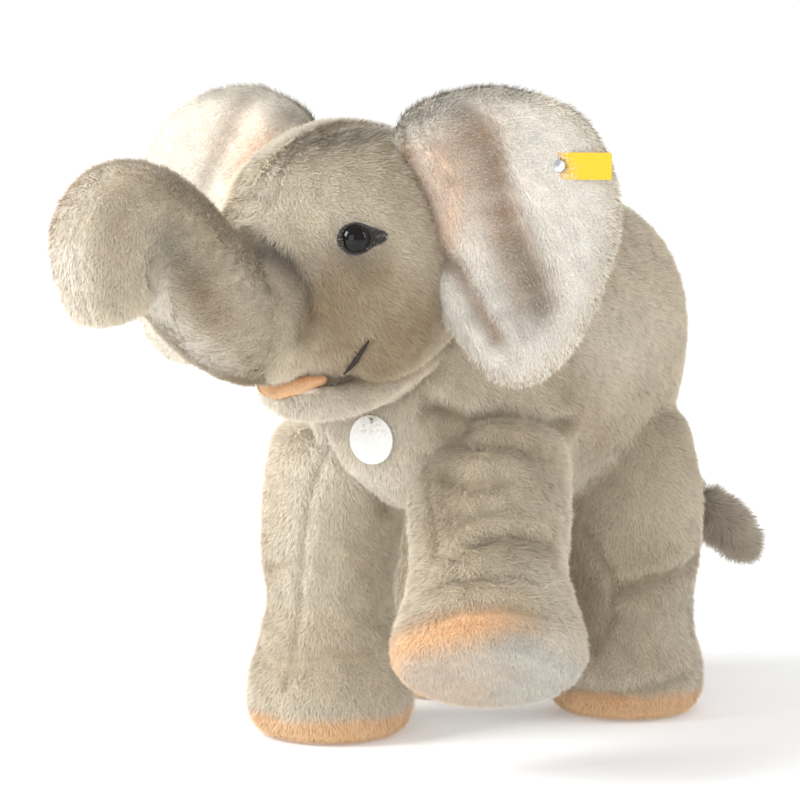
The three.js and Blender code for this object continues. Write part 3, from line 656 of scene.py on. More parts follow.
# ------------------------------------------------------------------ pile
@dataclass(frozen=True)
class Pile:
    """Short plush pile: fine blades that lean over along the nap."""

    length: float = 6.0
    width: float = 0.62
    density: float = 1.5
    lean: float = 58.0
    scatter: float = 0.42
    # root and tip scale each blade's colour: painted shade at the root, painted light at the tip
    root: float = 0.62
    tip: float = 1.12
    seed: int = 5

    def grow(self, skin: bpy.types.Object, name: str, material: bpy.types.Material,
             bare: Optional[Callable[[Array], Array]] = None) -> bpy.types.Object:
        """Grows the pile on a skin that holds Coat, Long, Nap and Out for its points.

        Args:
            skin: the backing cloth.
            name: the pile object's name.
            material: its material.
            bare: says where nothing grows, from points in millimetres.
        Returns:
            The pile as one mesh.
        """
        mesh = skin.data
        mesh.calc_loop_triangles()
        tri = np.empty(len(mesh.loop_triangles) * 3, np.int32)
        mesh.loop_triangles.foreach_get("vertices", tri)
        tri = tri.reshape(-1, 3)
        p, out, nap = points_of(mesh), read(mesh, "Out"), read(mesh, "Nap")
        coat, long = read(mesh, "Coat")[:, :3], read(mesh, "Long")[:, 0]
        a, b, c = (p[tri[:, i]] for i in range(3))
        cross = np.cross(b - a, c - a)
        area = np.linalg.norm(cross, axis=1) / 2
        face_out = unit(cross)
        vertex_out = unit(out[tri].mean(axis=1))
        area = area * ((face_out * vertex_out).sum(axis=1) > 0.35)
        if bare is not None:
            area = area * ~bare((a + b + c) / 3)
        rng = np.random.default_rng(self.seed + len(p))
        count = int(area.sum() * self.density)
        cum = np.cumsum(area)
        which = np.searchsorted(cum, (np.arange(count) + rng.uniform(0, 1, count)) * cum[-1] / count)
        which = np.minimum(which, len(tri) - 1)
        r1, r2 = np.sqrt(rng.uniform(0, 1, count)), rng.uniform(0, 1, count)
        w = np.stack([1 - r1, r1 * (1 - r2), r1 * r2], axis=1)[:, :, None]
        corner = tri[which]

        def at(values: Array) -> Array:
            """Values at the roots."""
            return (values[corner] * w).sum(axis=1)

        root, n, hue = at(p), unit(at(out)), at(coat)
        size = (long[corner] * w[:, :, 0]).sum(axis=1)
        way = at(nap)
        way = unit(way - n * (way * n).sum(axis=1, keepdims=True))
        side = np.cross(n, way)
        turn = self.scatter * (rng.normal(size=count) * 0.8 + 0.9 * waves(root, 7, 3)
                               + 0.5 * waves(root, 3.2, 4))
        way = way * np.cos(turn)[:, None] + side * np.sin(turn)[:, None]
        lean = np.radians(self.lean + 9 * waves(root, 5, 6) + rng.normal(size=count) * 7)
        blade = unit(way * np.sin(lean)[:, None] + n * np.cos(lean)[:, None])
        side = np.cross(n, blade)
        side = unit(side)
        length = self.length * size * (1 + 0.12 * waves(root, 8, 9)) * rng.uniform(0.75, 1.15, count)
        half = 0.5 * self.width * rng.uniform(0.8, 1.2, count) * np.clip(size, 0.75, 1.3)
        base = root - n * 0.35
        verts = np.empty((count, 3, 3))
        verts[:, 0] = base - side * half[:, None]
        verts[:, 1] = base + side * half[:, None]
        verts[:, 2] = root + blade * length[:, None]
        face = np.cross(verts[:, 1] - verts[:, 0], verts[:, 2] - verts[:, 0])
        flip = (face * n).sum(axis=1) < 0
        verts[flip, 0], verts[flip, 1] = verts[flip, 1].copy(), verts[flip, 0].copy()
        face = unit(np.cross(verts[:, 1] - verts[:, 0], verts[:, 2] - verts[:, 0]))
        shade = unit(n * 0.72 + face * 0.45 + rng.normal(size=(count, 3)) * 0.05)
        tone = hue * (1 + 0.05 * waves(root, 11, 12) + 0.05 * waves(root, 4, 13)
                      + rng.normal(size=count) * 0.05)[:, None]
        # blades darken to the root and lighten to the tip: painted shade deep in the pile and painted light
        # on its tips
        colours = np.empty((count, 3, 3))
        colours[:, 0] = colours[:, 1] = tone * self.root
        colours[:, 2] = tone * self.tip
        verts[:, :, 2] = np.maximum(verts[:, :, 2], 0.25)
        obj = bpy.data.objects.new(name, bpy.data.meshes.new(name))
        made = obj.data
        made.vertices.add(count * 3)
        made.vertices.foreach_set("co", (verts * MM).astype(np.float32).ravel())
        made.loops.add(count * 3)
        made.loops.foreach_set("vertex_index", np.arange(count * 3, dtype=np.int32))
        made.polygons.add(count)
        made.polygons.foreach_set("loop_start", np.arange(0, count * 3, 3, dtype=np.int32))
        made.polygons.foreach_set("use_smooth", np.ones(count, bool))
        made.update(calc_edges=True)
        write(made, "Coat", "FLOAT_COLOR", np.clip(colours.reshape(-1, 3), 0, 1))
        write(made, "custom_normal", "FLOAT_VECTOR", np.repeat(shade, 3, axis=0))
        self.bake_cells(made, tone)
        made.materials.append(material)
        bpy.context.scene.collection.objects.link(obj)
        log.info("pile %s: %d blades on %.0f mm2", name, count, area.sum())
        return obj

    @staticmethod
    def bake_cells(mesh: bpy.types.Mesh, tone: Array) -> None:
        """Lays blades of like colour on one cell of a small chart, for a compact texture."""
        cells = 40
        u = np.clip((tone.mean(axis=1) ** 0.6) * cells, 0, cells - 1).astype(int)
        v = np.clip((tone[:, 0] / np.maximum(tone[:, 2], 1e-3) - 0.9) / 1.6 * cells, 0, cells - 1).astype(int)
        uv = np.empty((len(tone), 3, 2))
        for i, (du, dv) in enumerate(((0.1, 0.1), (0.9, 0.1), (0.5, 0.9))):
            uv[:, i, 0], uv[:, i, 1] = (u + du) / cells, (v + dv) / cells
        mesh.uv_layers.new(name="OFBake").data.foreach_set("uv", uv.astype(np.float32).ravel())


@dataclass
class Hide:
    """The look of a skin: creases, swells, colours and nap, worked out for each of its points."""

    base: Tone = Tone.GREY
    swells: list[Swell] = field(default_factory=list)
    creases: list[Crease] = field(default_factory=list)
    tints: list[Tint] = field(default_factory=list)

    def shape(self, obj: bpy.types.Object, to_local: Callable[[Array], Array],
              to_row: Callable[[Array], Array]) -> None:
        """Presses swells and creases into a mesh.

        Args:
            obj: the skin.
            to_local: takes row points to the frame the strokes are given in.
            to_row: takes them back.
        """
        self.settle(obj, to_local, to_row)
        mesh = obj.data
        for one in [*self.swells, *self.creases]:
            p, n = points_of(mesh), normals_of(mesh)
            origin = to_local(np.zeros((1, 3)))
            moved = one.press(to_local(p), to_local(n) - origin)
            move_points(mesh, to_row(moved))

    def settle(self, obj: bpy.types.Object, to_local: Callable[[Array], Array],
               to_row: Callable[[Array], Array]) -> None:
        """Lays the lines of creases and colours on the skin they belong to.

        Args:
            obj: the skin.
            to_local: takes row points to the frame the strokes are given in.
            to_row: takes them back.
        """
        tree = BVHTree.FromObject(obj, bpy.context.evaluated_depsgraph_get())

        def laid(line: Sequence[Triple]) -> list[Triple]:
            """The line in short steps, each on the nearest cloth."""
            pts = np.array(line, float)
            steps = [pts[:1]]
            for a, b in zip(pts[:-1], pts[1:]):
                count = max(1, int(np.linalg.norm(b - a) / 14))
                steps.append(a + (b - a) * (np.arange(count) + 1)[:, None] / count)
            row = to_row(np.concatenate(steps))
            for i, spot in enumerate(row):
                hit, _, _, far = tree.find_nearest(Vector(tuple(spot * MM)))
                if far < 0.018:
                    row[i] = np.array(hit) / MM
            return [tuple(q) for q in to_local(row)]

        self.creases = [replace(one, line=laid(one.line)) for one in self.creases]
        self.tints = [replace(one, line=laid(one.line)) for one in self.tints]

    def dress(self, obj: bpy.types.Object, to_local: Callable[[Array], Array],
              nap: Callable[[Array, Array], Array],
              extra: Optional[Callable[[Array, Array, Array], Array]] = None) -> None:
        """Writes Coat, Long, Nap and Out on a mesh.

        Args:
            obj: the skin.
            to_local: takes row points to the frame the strokes are given in.
            nap: gives the lie of the pile from row points and outward directions.
            extra: changes the colour from local points, outward directions and colours.
        """
        mesh = obj.data
        p, n = points_of(mesh), normals_of(mesh)
        q = to_local(p)
        colour = np.repeat(self.base.light[None], len(p), axis=0)
        colour = colour * (1 + 0.05 * waves(p, 38, 21) + 0.035 * waves(p, 15, 22))[:, None]
        if extra:
            colour = extra(q, n, colour)
        for tint in self.tints:
            colour = tint.apply(q, colour)
        long = np.ones(len(p))
        # each crease lays painted shade on the colour and shortens the pile
        for crease in self.creases:
            colour = crease.shade(q, colour)
            long = long * crease.pile(q)
        write(mesh, "Coat", "FLOAT_COLOR", np.clip(colour, 0, 1))
        write(mesh, "Long", "FLOAT", long[:, None])
        write(mesh, "Nap", "FLOAT_VECTOR", nap(p, n))
        write(mesh, "Out", "FLOAT_VECTOR", n)


def same(p: Array) -> Array:
    """Points unchanged."""
    return p


def layout_shift() -> Array:
    """How far the row frame's points lie from the same points laid out from the neck's plumb line."""
    (x0, _, _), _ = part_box("body_side_right")
    _, (x1, _, _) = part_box("body_side_left")
    (_, y0, _), (_, y1, _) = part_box("hind_left_sole")
    return np.array([(x0 + x1) / 2 / MM, (y0 + y1) / 2 / MM - 84, 0.0])


SHIFT = layout_shift()


def layout_to_row(p: Array) -> Array:
    """Points laid out from the neck's plumb line, in the row frame."""
    return p + SHIFT


@dataclass(frozen=True)
class Stand:
    """A turned frame, such as the head's, whose points are given in its own directions."""

    turn: float
    origin: Triple

    def _matrix(self) -> Array:
        """The turn about the upright axis."""
        c, s = math.cos(math.radians(self.turn)), math.sin(math.radians(self.turn))
        return np.array([[c, -s, 0], [s, c, 0], [0, 0, 1.0]])

    def local(self, p: Array) -> Array:
        """Row points in this frame."""
        return (p - np.array(self.origin)) @ self._matrix()

    def row(self, p: Array) -> Array:
        """This frame's points in the row frame."""
        return p @ self._matrix().T + np.array(self.origin)

    def aim(self, v: Array) -> Array:
        """This frame's directions in the row frame."""
        return v @ self._matrix().T


HEAD = Stand(turn=-18.0, origin=(SHIFT[0], SHIFT[1] - 100, 0.0))


@dataclass(frozen=True)
class Wardrobe:
    """Every material of the toy, made once."""

    pile: bpy.types.Material
    cloth: bpy.types.Material
    felt: bpy.types.Material
    eye: bpy.types.Material
    thread: bpy.types.Material
    steel: bpy.types.Material
    card: bpy.types.Material
    ribbon: bpy.types.Material
    nylon: bpy.types.Material

    @staticmethod
    def stock() -> "Wardrobe":
        """Makes the materials."""
        return Wardrobe(
            pile=PlushFinish("plush_pile", sheen=0.45).material(),
            cloth=PlushFinish("plush_backing", depth=0.6, sheen=0.2, grain=0.3).material(),
            felt=SolidFinish("black_felt", (26, 24, 24), (52, 49, 48), 0.5, 0.2, 0.95, sheen=0.3).material(),
            eye=SolidFinish("eye_gloss", (6, 5, 5), (12, 8, 6), 3.0, 0.0, 0.08, gloss=0.32).material(),
            thread=SolidFinish("dark_thread", (62, 55, 50), (30, 27, 25), 0.4, 0.2, 0.8).material(),
            steel=SolidFinish("button_steel", (205, 206, 210), (170, 172, 178), 0.7, 0.02, 0.24,
                              metal=1.0).material(),
            card=SolidFinish("white_card", (246, 246, 244), (232, 232, 229), 1.2, 0.03, 0.5).material(),
            ribbon=WovenFinish("yellow_ribbon", (250, 206, 30), (214, 160, 10)).material(),
            nylon=SolidFinish("nylon", (232, 230, 224), (214, 212, 206), 2.0, 0.0, 0.4).material())


@dataclass
class Plush:
    """A plush piece: its cloth and its pile, hung on a body or baked in place."""

    cloth: bpy.types.Object
    stands_for: Sequence[str]
    slot: str = "grey_plush"
    fill: float = 0.7

    def sew(self, wardrobe: Wardrobe, pile: Pile, follow: Callable[[bpy.types.Object], None],
            bare: Optional[Callable[[Array], Array]] = None) -> None:
        """Gives the piece its material and pile, hands both to follow and hides the frame nodes it stands
        for.

        Args:
            wardrobe: the materials.
            pile: what grows on it.
            follow: hangs an object on a body, or only bakes its transform.
            bare: where no pile grows.
        """
        self.cloth.data.materials.clear()
        self.cloth.data.materials.append(wardrobe.cloth)
        coat = pile.grow(self.cloth, self.cloth.name + "_pile", wardrobe.pile, bare)
        for obj in (self.cloth, coat):
            follow(obj)
        if self.stands_for:
            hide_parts(*self.stands_for)
        log.info("plush piece %s", self.cloth.name)


# ------------------------------------------------------------------ torso and legs
@dataclass
class Trunkless:
    """The torso and its four legs, fused as one skin and then cut where each leg begins to turn."""

    voxel: float = 3.2
    relax: int = 14
    leg_cut: float = 140.0
    leg_free: float = 96.0
    sole_rise: float = 10.0
    legs: dict[str, Triple] = field(default_factory=lambda: {
        "fore_right": (-56.8, -36.4, 0.0), "fore_left": (92.2, -122.4, 79.0),
        "hind_right": (-56.8, 125.6, 0.0), "hind_left": (81.2, 125.6, 0.0)})

    def forms(self) -> list[Loft]:
        """The torso and the legs as plain soft forms, before their folds."""
        mid, half, wide = 251.0, 105.0, 101.0
        rows = [(-112, 0, 0.66, 0.66), (-69.4, -1, 0.9, 0.9), (-13.4, 0, 1, 0.98), (59.2, 0, 1.01, 1),
                (111, -1, 0.97, 0.97), (148, -4, 0.78, 0.8)]
        forms = [Loft([((0, y, mid + dz), wide * w, half * h) for y, dz, w, h in rows], (24, 30), 2.3)]
        for side, y, radius, foot, ankle in ((-1, -78, 43, 53, 39), (-1, 84, 48, 51, 44),
                                             (1, 84, 48, 51, 44)):
            x = side * 69
            rings = [((x, y, 0.8), foot * 0.74, foot * 0.74), ((x, y, 3), foot * 0.84, foot * 0.84),
                     ((x, y, 9), foot * 0.95, foot * 0.95), ((x, y, 18), foot * 1.01, foot * 1.01),
                     ((x, y, 34), foot * 1.0, foot * 1.0), ((x, y, 58), foot * 0.88, foot * 0.88),
                     ((x, y, 88), ankle * 1.02, ankle * 1.02), ((x, y, 118), radius * 0.98, radius * 1.04),
                     ((x - side * 2, y, 150), radius * 1.03, radius * 1.09),
                     ((x - side * 6, y, 186), radius, radius * 1.06)]
            forms.append(Loft(rings, (0, 28)))
        pad, foot, way = self.lifted()
        pad = pad - SHIFT
        spots = [(pad + way * 3, foot * 0.8), (pad + way * 1, foot * 0.88), (pad - way * 6, foot * 0.98),
                 (pad - way * 18, foot), (pad - way * 34 + np.array([-2.0, 4, 0]), foot * 0.92),
                 (np.array([74.0, -124, 124]), 47), (np.array([66.0, -106, 150]), 48),
                 (np.array([58.0, -84, 186]), 46)]
        forms.append(Loft([(tuple(at), r, r) for at, r in spots], (0, 28)))
        return forms

    def hide(self) -> Hide:
        """The torso's and legs' creases and colours, in row millimetres."""
        g = Tone
        return Hide(
            base=g.GREY,
            swells=[
                Swell([(-62, -78, 130), (-58, -75, 90)], 26, 0.8),
                Swell([(118, -112, 172), (110, -126, 158)], 26, 5.0),
                Swell([(118, 100, 190), (116, 110, 150)], 45, 4.0),
                Swell([(12, -78, 205), (8, -66, 172)], 32, 9.0),
                Swell([(62, -96, 222), (84, -84, 213), (100, -58, 206)], 8, 4.5),
                Swell([(62, -102, 201), (84, -94, 194), (100, -78, 192)], 9, 3.5),
                Swell([(112, 150, 214), (120, 138, 190), (118, 110, 206)], 34, -2.5),
                Swell([(92, 20, 180), (80, 50, 165)], 22, -5.0),
            ],
            creases=[
                Crease([(45, -92, 238), (40, -82, 205), (58, -104, 172), (76, -128, 140)],
                       3.6, 2.4, 0.6, 0.25),
                Crease([(-33, -84, 214), (-14, -66, 182), (-6, -50, 156)], 5, 4.0, 1.0, 0.3),
                Crease([(-30, -84, 212), (-43, -86, 161), (-53, -85, 95), (-58, -90, 38)],
                       3.2, 2.0, 0.5, 0.22),
                Crease([(52, -90, 229), (72, -78, 219), (96, -52, 214), (104, -14, 212)], 6.5, 6.5, 2.4, 0.5),
                Crease([(56, -90, 213), (80, -86, 206), (102, -72, 198)], 5.5, 2.6, 1.2, 0.25),
                Crease([(60, -98, 190), (84, -100, 183), (100, -90, 184)], 6, 1.6, 0.8, 0.18),
                Crease([(100, -122, 151), (116, -108, 153), (128, -88, 149)], 6, 5.0, 1.8),
                Crease([(94, -150, 136), (110, -146, 132), (124, -136, 133), (138, -124, 128)], 6, 2.4, 1.0),
                Crease([(-80, -80, 112), (-60, -86, 118), (-34, -80, 118)], 8, 1.8, 0.8, 0.15),
                Crease([(-94, -66, 60), (-74, -84, 55), (-52, -86, 56), (-14, -60, 62)], 8, 2.2, 1.0, 0.16),
                Crease([(98, -168, 110), (124, -160, 116), (150, -134, 110)], 6, 0.9, 0.5, 0.1),
                Crease([(76, 76, 136), (93, 82, 104), (92, 84, 74), (82, 80, 48)], 3.2, 2.6, 0.6),
                Crease([(98, 84, 94), (112, 90, 99), (124, 108, 102), (128, 132, 107)], 6, 4.5, 1.5),
                Crease([(64, 78, 24), (98, 82, 22), (130, 112, 32)], 5, 2.6, 1.0),
                Crease([(62, -40, 158), (74, 0, 152), (74, 50, 144), (66, 76, 138)], 4, 3.0, 1.0),
                Crease([(12, 150, 300), (12, 60, 352), (12, -60, 352)], 3.0, 2.0, 0.5, 0.2),
            ],
            tints=[
                Tint([(102, -10, 232), (98, 20, 205), (90, 45, 190)], 26, g.BROWN, 0.55),
                Tint([(106, 60, 200), (112, 90, 214)], 40, g.BROWN, 0.25),
                Tint([(112, 20, 262), (114, 80, 262)], 30, g.PALE, 0.4),
                Tint([(124, 110, 190), (126, 130, 172)], 26, g.BROWN, 0.25),
                Tint([(64, 80, 120), (72, 78, 90), (74, 80, 60)], 20, g.BROWN, 0.6),
                Tint([(120, 90, 110), (124, 96, 80)], 24, g.BROWN, 0.35),
                Tint([(50, -90, 220), (56, -98, 190), (70, -112, 160)], 16, g.BROWN, 0.5),
                Tint([(90, -70, 206), (104, -60, 196)], 22, g.BROWN, 0.5),
                Tint([(106, -112, 140), (126, -92, 138)], 12, g.BROWN, 0.45),
                Tint([(-40, -80, 200), (-46, -84, 150), (-52, -84, 110)], 22, g.PALE, 0.6),
                Tint([(-98, -50, 130), (-100, -40, 90)], 24, g.PEACH, 0.28),
                Tint([(0, -72, 190), (20, -88, 206), (-8, -84, 206)], 28, g.PALE, 0.6),
                Tint([(128, 130, 90), (130, 120, 60)], 22, g.PALE, 0.4),
                Tint([(30, -84, 130), (28, -80, 70)], 22, g.PALE, 0.25),
                Tint([(128, -110, 120), (146, -118, 108)], 16, g.PALE, 0.4),
            ])

    def nap(self, p: Array, n: Array) -> Array:
        """Pile lies down and back, a little swirled."""
        way = np.repeat(np.array([[0.0, 0.45, -1.0]]), len(p), axis=0)
        low = smooth((150 - p[:, 2]) / 50)
        way[:, 1] *= 1 - 0.8 * low
        way += 0.35 * np.stack([waves(p, 55, 31), waves(p, 55, 32), waves(p, 60, 33)], axis=1)
        return way

    def paint(self, p: Array, n: Array, colour: Array) -> Array:
        """Pale belly, a peach band above each sole and the lifted foot's grey sole with its peach rim."""
        g = Tone
        stands = np.linalg.norm(p - self.lifted()[0], axis=1) > 84
        low = smooth((50 - p[:, 2]) / 34) * stands
        edge = 20 + 2.0 * waves(p, 26, 61)
        band = smooth((edge + 3 - p[:, 2]) / 5) * stands * 0.95
        toe = smooth((4.5 - p[:, 2]) / 3) * stands * smooth((p[:, 1] - 60) / 20) * 0.8
        colour = over(colour, g.PALE.light, 0.3 * low)
        colour = over(colour, g.PEACH.light, band)
        colour = over(colour, g.PALE.light, toe)
        belly = smooth((-n[:, 2] - 0.3) / 0.5) * smooth((p[:, 2] - 135) / 8)
        colour = over(colour, g.CREAM.light, 0.5 * belly)
        pad, _, way = self.lifted()
        along = (p - pad) @ way
        side = ((p - pad) @ np.array([-0.84, -0.1, 0.5])) + 4 * waves(p, 22, 62)
        near = np.linalg.norm(p - pad, axis=1) < 84
        seam = -9 + 2.5 * waves(p, 30, 63)
        face = smooth((along - seam) / 7) * near
        rim = np.exp(-(((along - seam - 1) / 10) ** 2)) * near * smooth((side + 20) / 32)
        border = np.exp(-(((along - seam + 1) / 9) ** 2)) * near * smooth((-side - 6) / 24) * 0.7
        wash = np.exp(-(((along - seam + 9) / 6) ** 2)) * near * smooth((side + 30) / 30) * 0.45
        colour = over(colour, g.BROWN.light, wash)
        grey = g.SOLE.light * (1 - 0.05 * waves(p, 14, 64))[:, None]
        colour = over(colour, grey, face)
        colour = over(colour, g.PALE.light, border)
        return over(colour, g.PEACH.light, 0.97 * rim)

    def lifted(self) -> tuple[Array, float, Array]:
        """The lifted foot's pad centre, radius and the way it faces."""
        return np.array([95.5, -162, 69.5]) + SHIFT, 58.5, unit(np.array([0.26, -0.47, -0.84]))

    def build(self, wardrobe: Wardrobe) -> None:
        """Makes the torso, the four legs and their soles.

        Args:
            wardrobe: the materials.
        """
        torso = ["body_side_left", "body_side_right", "chest_panel", "belly_panel", "rump_panel"]
        whole = loft_object("whole", self.forms(), layout_to_row)
        remesh(whole, self.voxel, self.relax)
        hide = self.hide()
        drift = SHIFT - np.array(STROKES_SHIFT)
        hide.shape(whole, lambda p: p - drift, lambda p: p + drift)
        hide.dress(whole, lambda p: p - drift, self.nap, self.paint)
        plane = np.array([0, 0, self.leg_cut])
        up = cut(whole, "torso_plush", plane, np.array([0, 0, 1.0]), True)
        down = cut(whole, "legs", plane, np.array([0, 0, 1.0]), False)
        bpy.data.objects.remove(whole)
        Plush(up, torso + ["body_stuffing"]).sew(wardrobe, Pile(seed=11), lambda o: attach(o, "torso"))
        for part in split_loose(down):
            centre = points_of(part.data).mean(axis=0)
            key = min(self.legs, key=lambda k: np.linalg.norm(centre[:2] - np.array(self.legs[k])[:2]))
            self.leg(part, key, wardrobe)

    def leg(self, part: bpy.types.Object, key: str, wardrobe: Wardrobe) -> None:
        """Cuts the sole off one leg and sews both.

        Args:
            part: the leg below the torso.
            key: which leg.
            wardrobe: the materials.
        """
        body = "leg_" + key
        if key == "fore_left":
            pad, _, way = self.lifted()
            place = pad - way * 9
        else:
            place, way = np.array([0, 0, self.sole_rise]), np.array([0, 0, -1.0])
        sole = cut(part, f"{key}_sole_plush", place, way, True)
        upper = cut(part, f"{key}_leg_plush", place, way, False)
        bpy.data.objects.remove(part)
        x, y, _ = points_of(upper.data).mean(axis=0) * MM

        def bend(o: bpy.types.Object) -> None:
            """Bakes the leg's transform in place; nothing joins it to the torso."""
            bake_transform(o)

        Plush(upper, [f"{key}_leg_outer", f"{key}_leg_inner", f"{key}_leg_stuffing"]).sew(
            wardrobe, Pile(seed=17), bend)
        Plush(sole, [f"{key}_sole"], "cream_plush").sew(
            wardrobe, Pile(length=4.5, lean=50, seed=19), lambda o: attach(o, body),
            None if key == "fore_left" else lambda q: q[:, 2] < 1.5)


# ------------------------------------------------------------------ head and trunk
@dataclass
class Head:
    """The head and trunk, fused as one skin in the head's frame and cut across the trunk."""

    voxel: float = 2.8
    relax: int = 10
    root_cut: float = -137.0
    root_end: float = -162.0
    curl_cut: float = -192.0
    curl_end: float = -216.0
    spine: tuple[tuple[float, float], ...] = (
        (-84, 291), (-119, 295), (-150, 309), (-176, 330), (-199, 347), (-218, 348), (-232, 332), (-239, 311),
        (-237, 292))

    def course(self) -> tuple[Array, Array]:
        """The trunk's middle line as its stuffing settles, and its half width at each station."""
        pts = np.array([(0, y, z) for y, z in self.spine], float)
        run = np.concatenate([[0], np.cumsum(np.linalg.norm(np.diff(pts, axis=0), axis=1))])
        girth = np.interp(run / run[4], [0, 0.27, 0.53, 0.78, 1, 1.2, 1.5, 2],
                          [30, 36, 36, 35, 33, 31, 27, 21.5])
        pts[:, 1] += np.array([0, 0, 0, 0, -2, -5, -4, 5, 8])
        pts[:, 2] += np.array([-9, -14, -15, -11, -4, 1, 4, 4, 7])
        return pts, girth

    def forms(self) -> list[Loft]:
        """The skull, jaw and trunk as plain soft forms."""
        rows = [(0, 0.55, 0.6, -2), (0.2, 0.87, 0.88, -1), (0.5, 1, 0.97, -3), (0.76, 0.86, 0.87, -7),
                (0.95, 0.6, 0.64, -14)]
        skull = Loft([((0, 12 - k * 126, 317 + dz), 76 * w, 92 * h) for k, w, h, dz in rows], (14, 20))
        jaw = Loft([((0, -30, 259), 54, 12), ((0, -50, 246), 50, 15), ((0, -70, 238), 44, 16.5),
                    ((0, -86, 236), 35, 15)], (12, 15))
        pts, girth = self.course()
        trunk = Loft([(tuple(p), g, g) for p, g in zip(pts, girth)], (16, 9))
        return [skull, jaw, trunk]

    def strip_seams(self, turn: int) -> list[list[Triple]]:
        """The two seams beside the strip on the trunk's back (1) or under it (-1)."""
        pts, girth = self.course()
        pts, girth = (v[1:] if turn > 0 else v[2:] for v in (pts[:, 1:], girth))
        way = unit(np.gradient(pts, axis=0))
        half = np.linspace(16, 10, len(pts))
        rise = np.sqrt(girth ** 2 - half ** 2)[:, None]
        out = pts + turn * np.stack([way[:, 1], -way[:, 0]], axis=1) * rise
        return [[(side * h, y, z) for h, (y, z) in zip(half, out)] for side in (1, -1)]

    def both(self, line: Sequence[Triple]) -> list[list[Triple]]:
        """A line on the head's left and its mirror on the right."""
        return [list(line), [(-x, y, z) for x, y, z in line]]

    def hide(self) -> Hide:
        """The head's creases and colours in its own frame."""
        g, two = Tone, self.both
        creases = []
        for line in two([(19, -30, 396), (17, -66, 396), (12, -94, 388), (15, -116, 371), (18, -128, 350),
                         (22, -132, 338)]):
            creases.append(Crease(line, 2.6, 1.6, 0.4, 0.2))
        for line in two([(10, -134, 334), (24, -131, 328), (34, -126, 320), (40, -120, 307), (41, -117, 292),
                         (38, -116, 278)]):
            creases.append(Crease(line, 5.0, 4.5, 1.4, 0.6))
        for line in two([(58, -14, 266), (55, -36, 257), (50, -54, 250), (36, -77, 249), (24, -91, 246),
                         (0, -100, 246)]):
            creases.append(Crease(line, 3.6, 5.0, 1.2, 0.5))
        for line in two([(57, -80, 274), (48, -84, 262), (36, -80, 250)]):
            creases.append(Crease(line, 3.0, 2.0, 0.8, 0.35))
        for turn in (1, -1):
            for line in self.strip_seams(turn):
                creases.append(Crease(line, 2.2, 1.0, 0.3, 0.1))
        creases.append(Crease([(24, -219, 327), (14, -224, 316), (14, -217, 298)], 3.6, 3.0, 0.8, 0.5))
        tints = [
            Tint([(2, -16, 398), (2, -56, 400), (4, -86, 394)], 14, g.SLATE, 0.3),
            Tint([(27, -40, 394), (24, -84, 390)], 11, g.SMOKE, 0.45),
            Tint([(-20, -60, 396), (-18, -96, 384)], 15, g.SMOKE, 0.35),
            Tint([(12, -94, 388), (14, -112, 374)], 6, g.SMOKE, 0.35),
            Tint([(20, -132, 331), (34, -126, 322), (43, -116, 306), (45, -111, 290)], 8, g.SLATE, 0.85),
            # painted shade under the trunk's bend, at the inner corner where its end turns down
            Tint([(31, -212, 338), (29, -206, 326), (30, -192, 312)], 12, g.SMOKE, 0.6),
            Tint([(30, -192, 312), (30, -184, 304), (26, -176, 290)], 15, g.BROWN, 0.6),
            Tint([(24, -244, 356), (24, -250, 330), (22, -248, 306)], 11, g.BROWN, 0.4),
            Tint([(60, -108, 318), (68, -88, 316)], 12, g.BROWN, 0.65),
            Tint([(66, -86, 300), (68, -62, 290)], 26, g.BROWN, 0.66),
            Tint([(54, -101, 310), (50, -105, 294), (46, -102, 276)], 22, g.BROWN, 0.88),
            Tint([(66, -52, 280), (60, -66, 266), (50, -76, 258)], 25, g.BROWN, 0.92),
            Tint([(70, -14, 330), (70, -20, 290)], 16, g.BROWN, 0.45),
            Tint([(6, -118, 368), (14, -128, 350)], 18, g.PALE, 0.6),
            Tint([(40, -108, 372), (50, -100, 356)], 22, g.PALE, 0.25),
            Tint([(38, -150, 304), (34, -160, 318)], 14, g.PALE, 0.5),
            Tint([(10, -262, 360), (14, -266, 336), (12, -262, 304)], 20, g.CREAM, 0.3),
            Tint([(10, -218, 308), (10, -190, 286), (12, -160, 262)], 12, g.CREAM, 0.8),
            Tint([(-8, -200, 378), (-4, -236, 374)], 18, g.PALE, 0.6),
            Tint([(-10, -236, 350), (-20, -240, 320)], 22, g.PEACH, 0.2),
            Tint([(69, -102, 331)], 15, g.SMOKE, 0.4),
        ]
        return Hide(base=g.GREY, swells=[Swell([(52, -60, 262), (46, -84, 262)], 20, 3.0),
                                         Swell([(-52, -60, 262), (-46, -84, 262)], 20, 3.0)],
                    creases=creases, tints=tints)

    def nap(self, p: Array, n: Array) -> Array:
        """Pile runs back and down the head, and towards the tip on the trunk."""
        q = HEAD.local(p)
        way = np.stack([0.25 * np.sign(q[:, 0]), 0.5 + 0 * q[:, 1], -0.8 + 0 * q[:, 2]], axis=1)
        pts = np.array([(0, y, z) for y, z in self.spine], float)
        best, run = np.full(len(q), 1e9), np.zeros((len(q), 3))
        for a, b in zip(pts[:-1], pts[1:]):
            ab = b - a
            t = np.clip(((q - a) @ ab) / (ab @ ab), 0, 1)
            d = np.linalg.norm(q - (a + t[:, None] * ab), axis=1)
            run[d < best] = ab / np.linalg.norm(ab)
            best = np.minimum(best, d)
        on = smooth((-112 - q[:, 1]) / 30)[:, None]
        way = way * (1 - on) + (run + np.array([0, 0, -0.5])) * on
        way += 0.3 * np.stack([waves(p, 45, 41), waves(p, 45, 42), waves(p, 45, 43)], axis=1)
        return HEAD.aim(way)

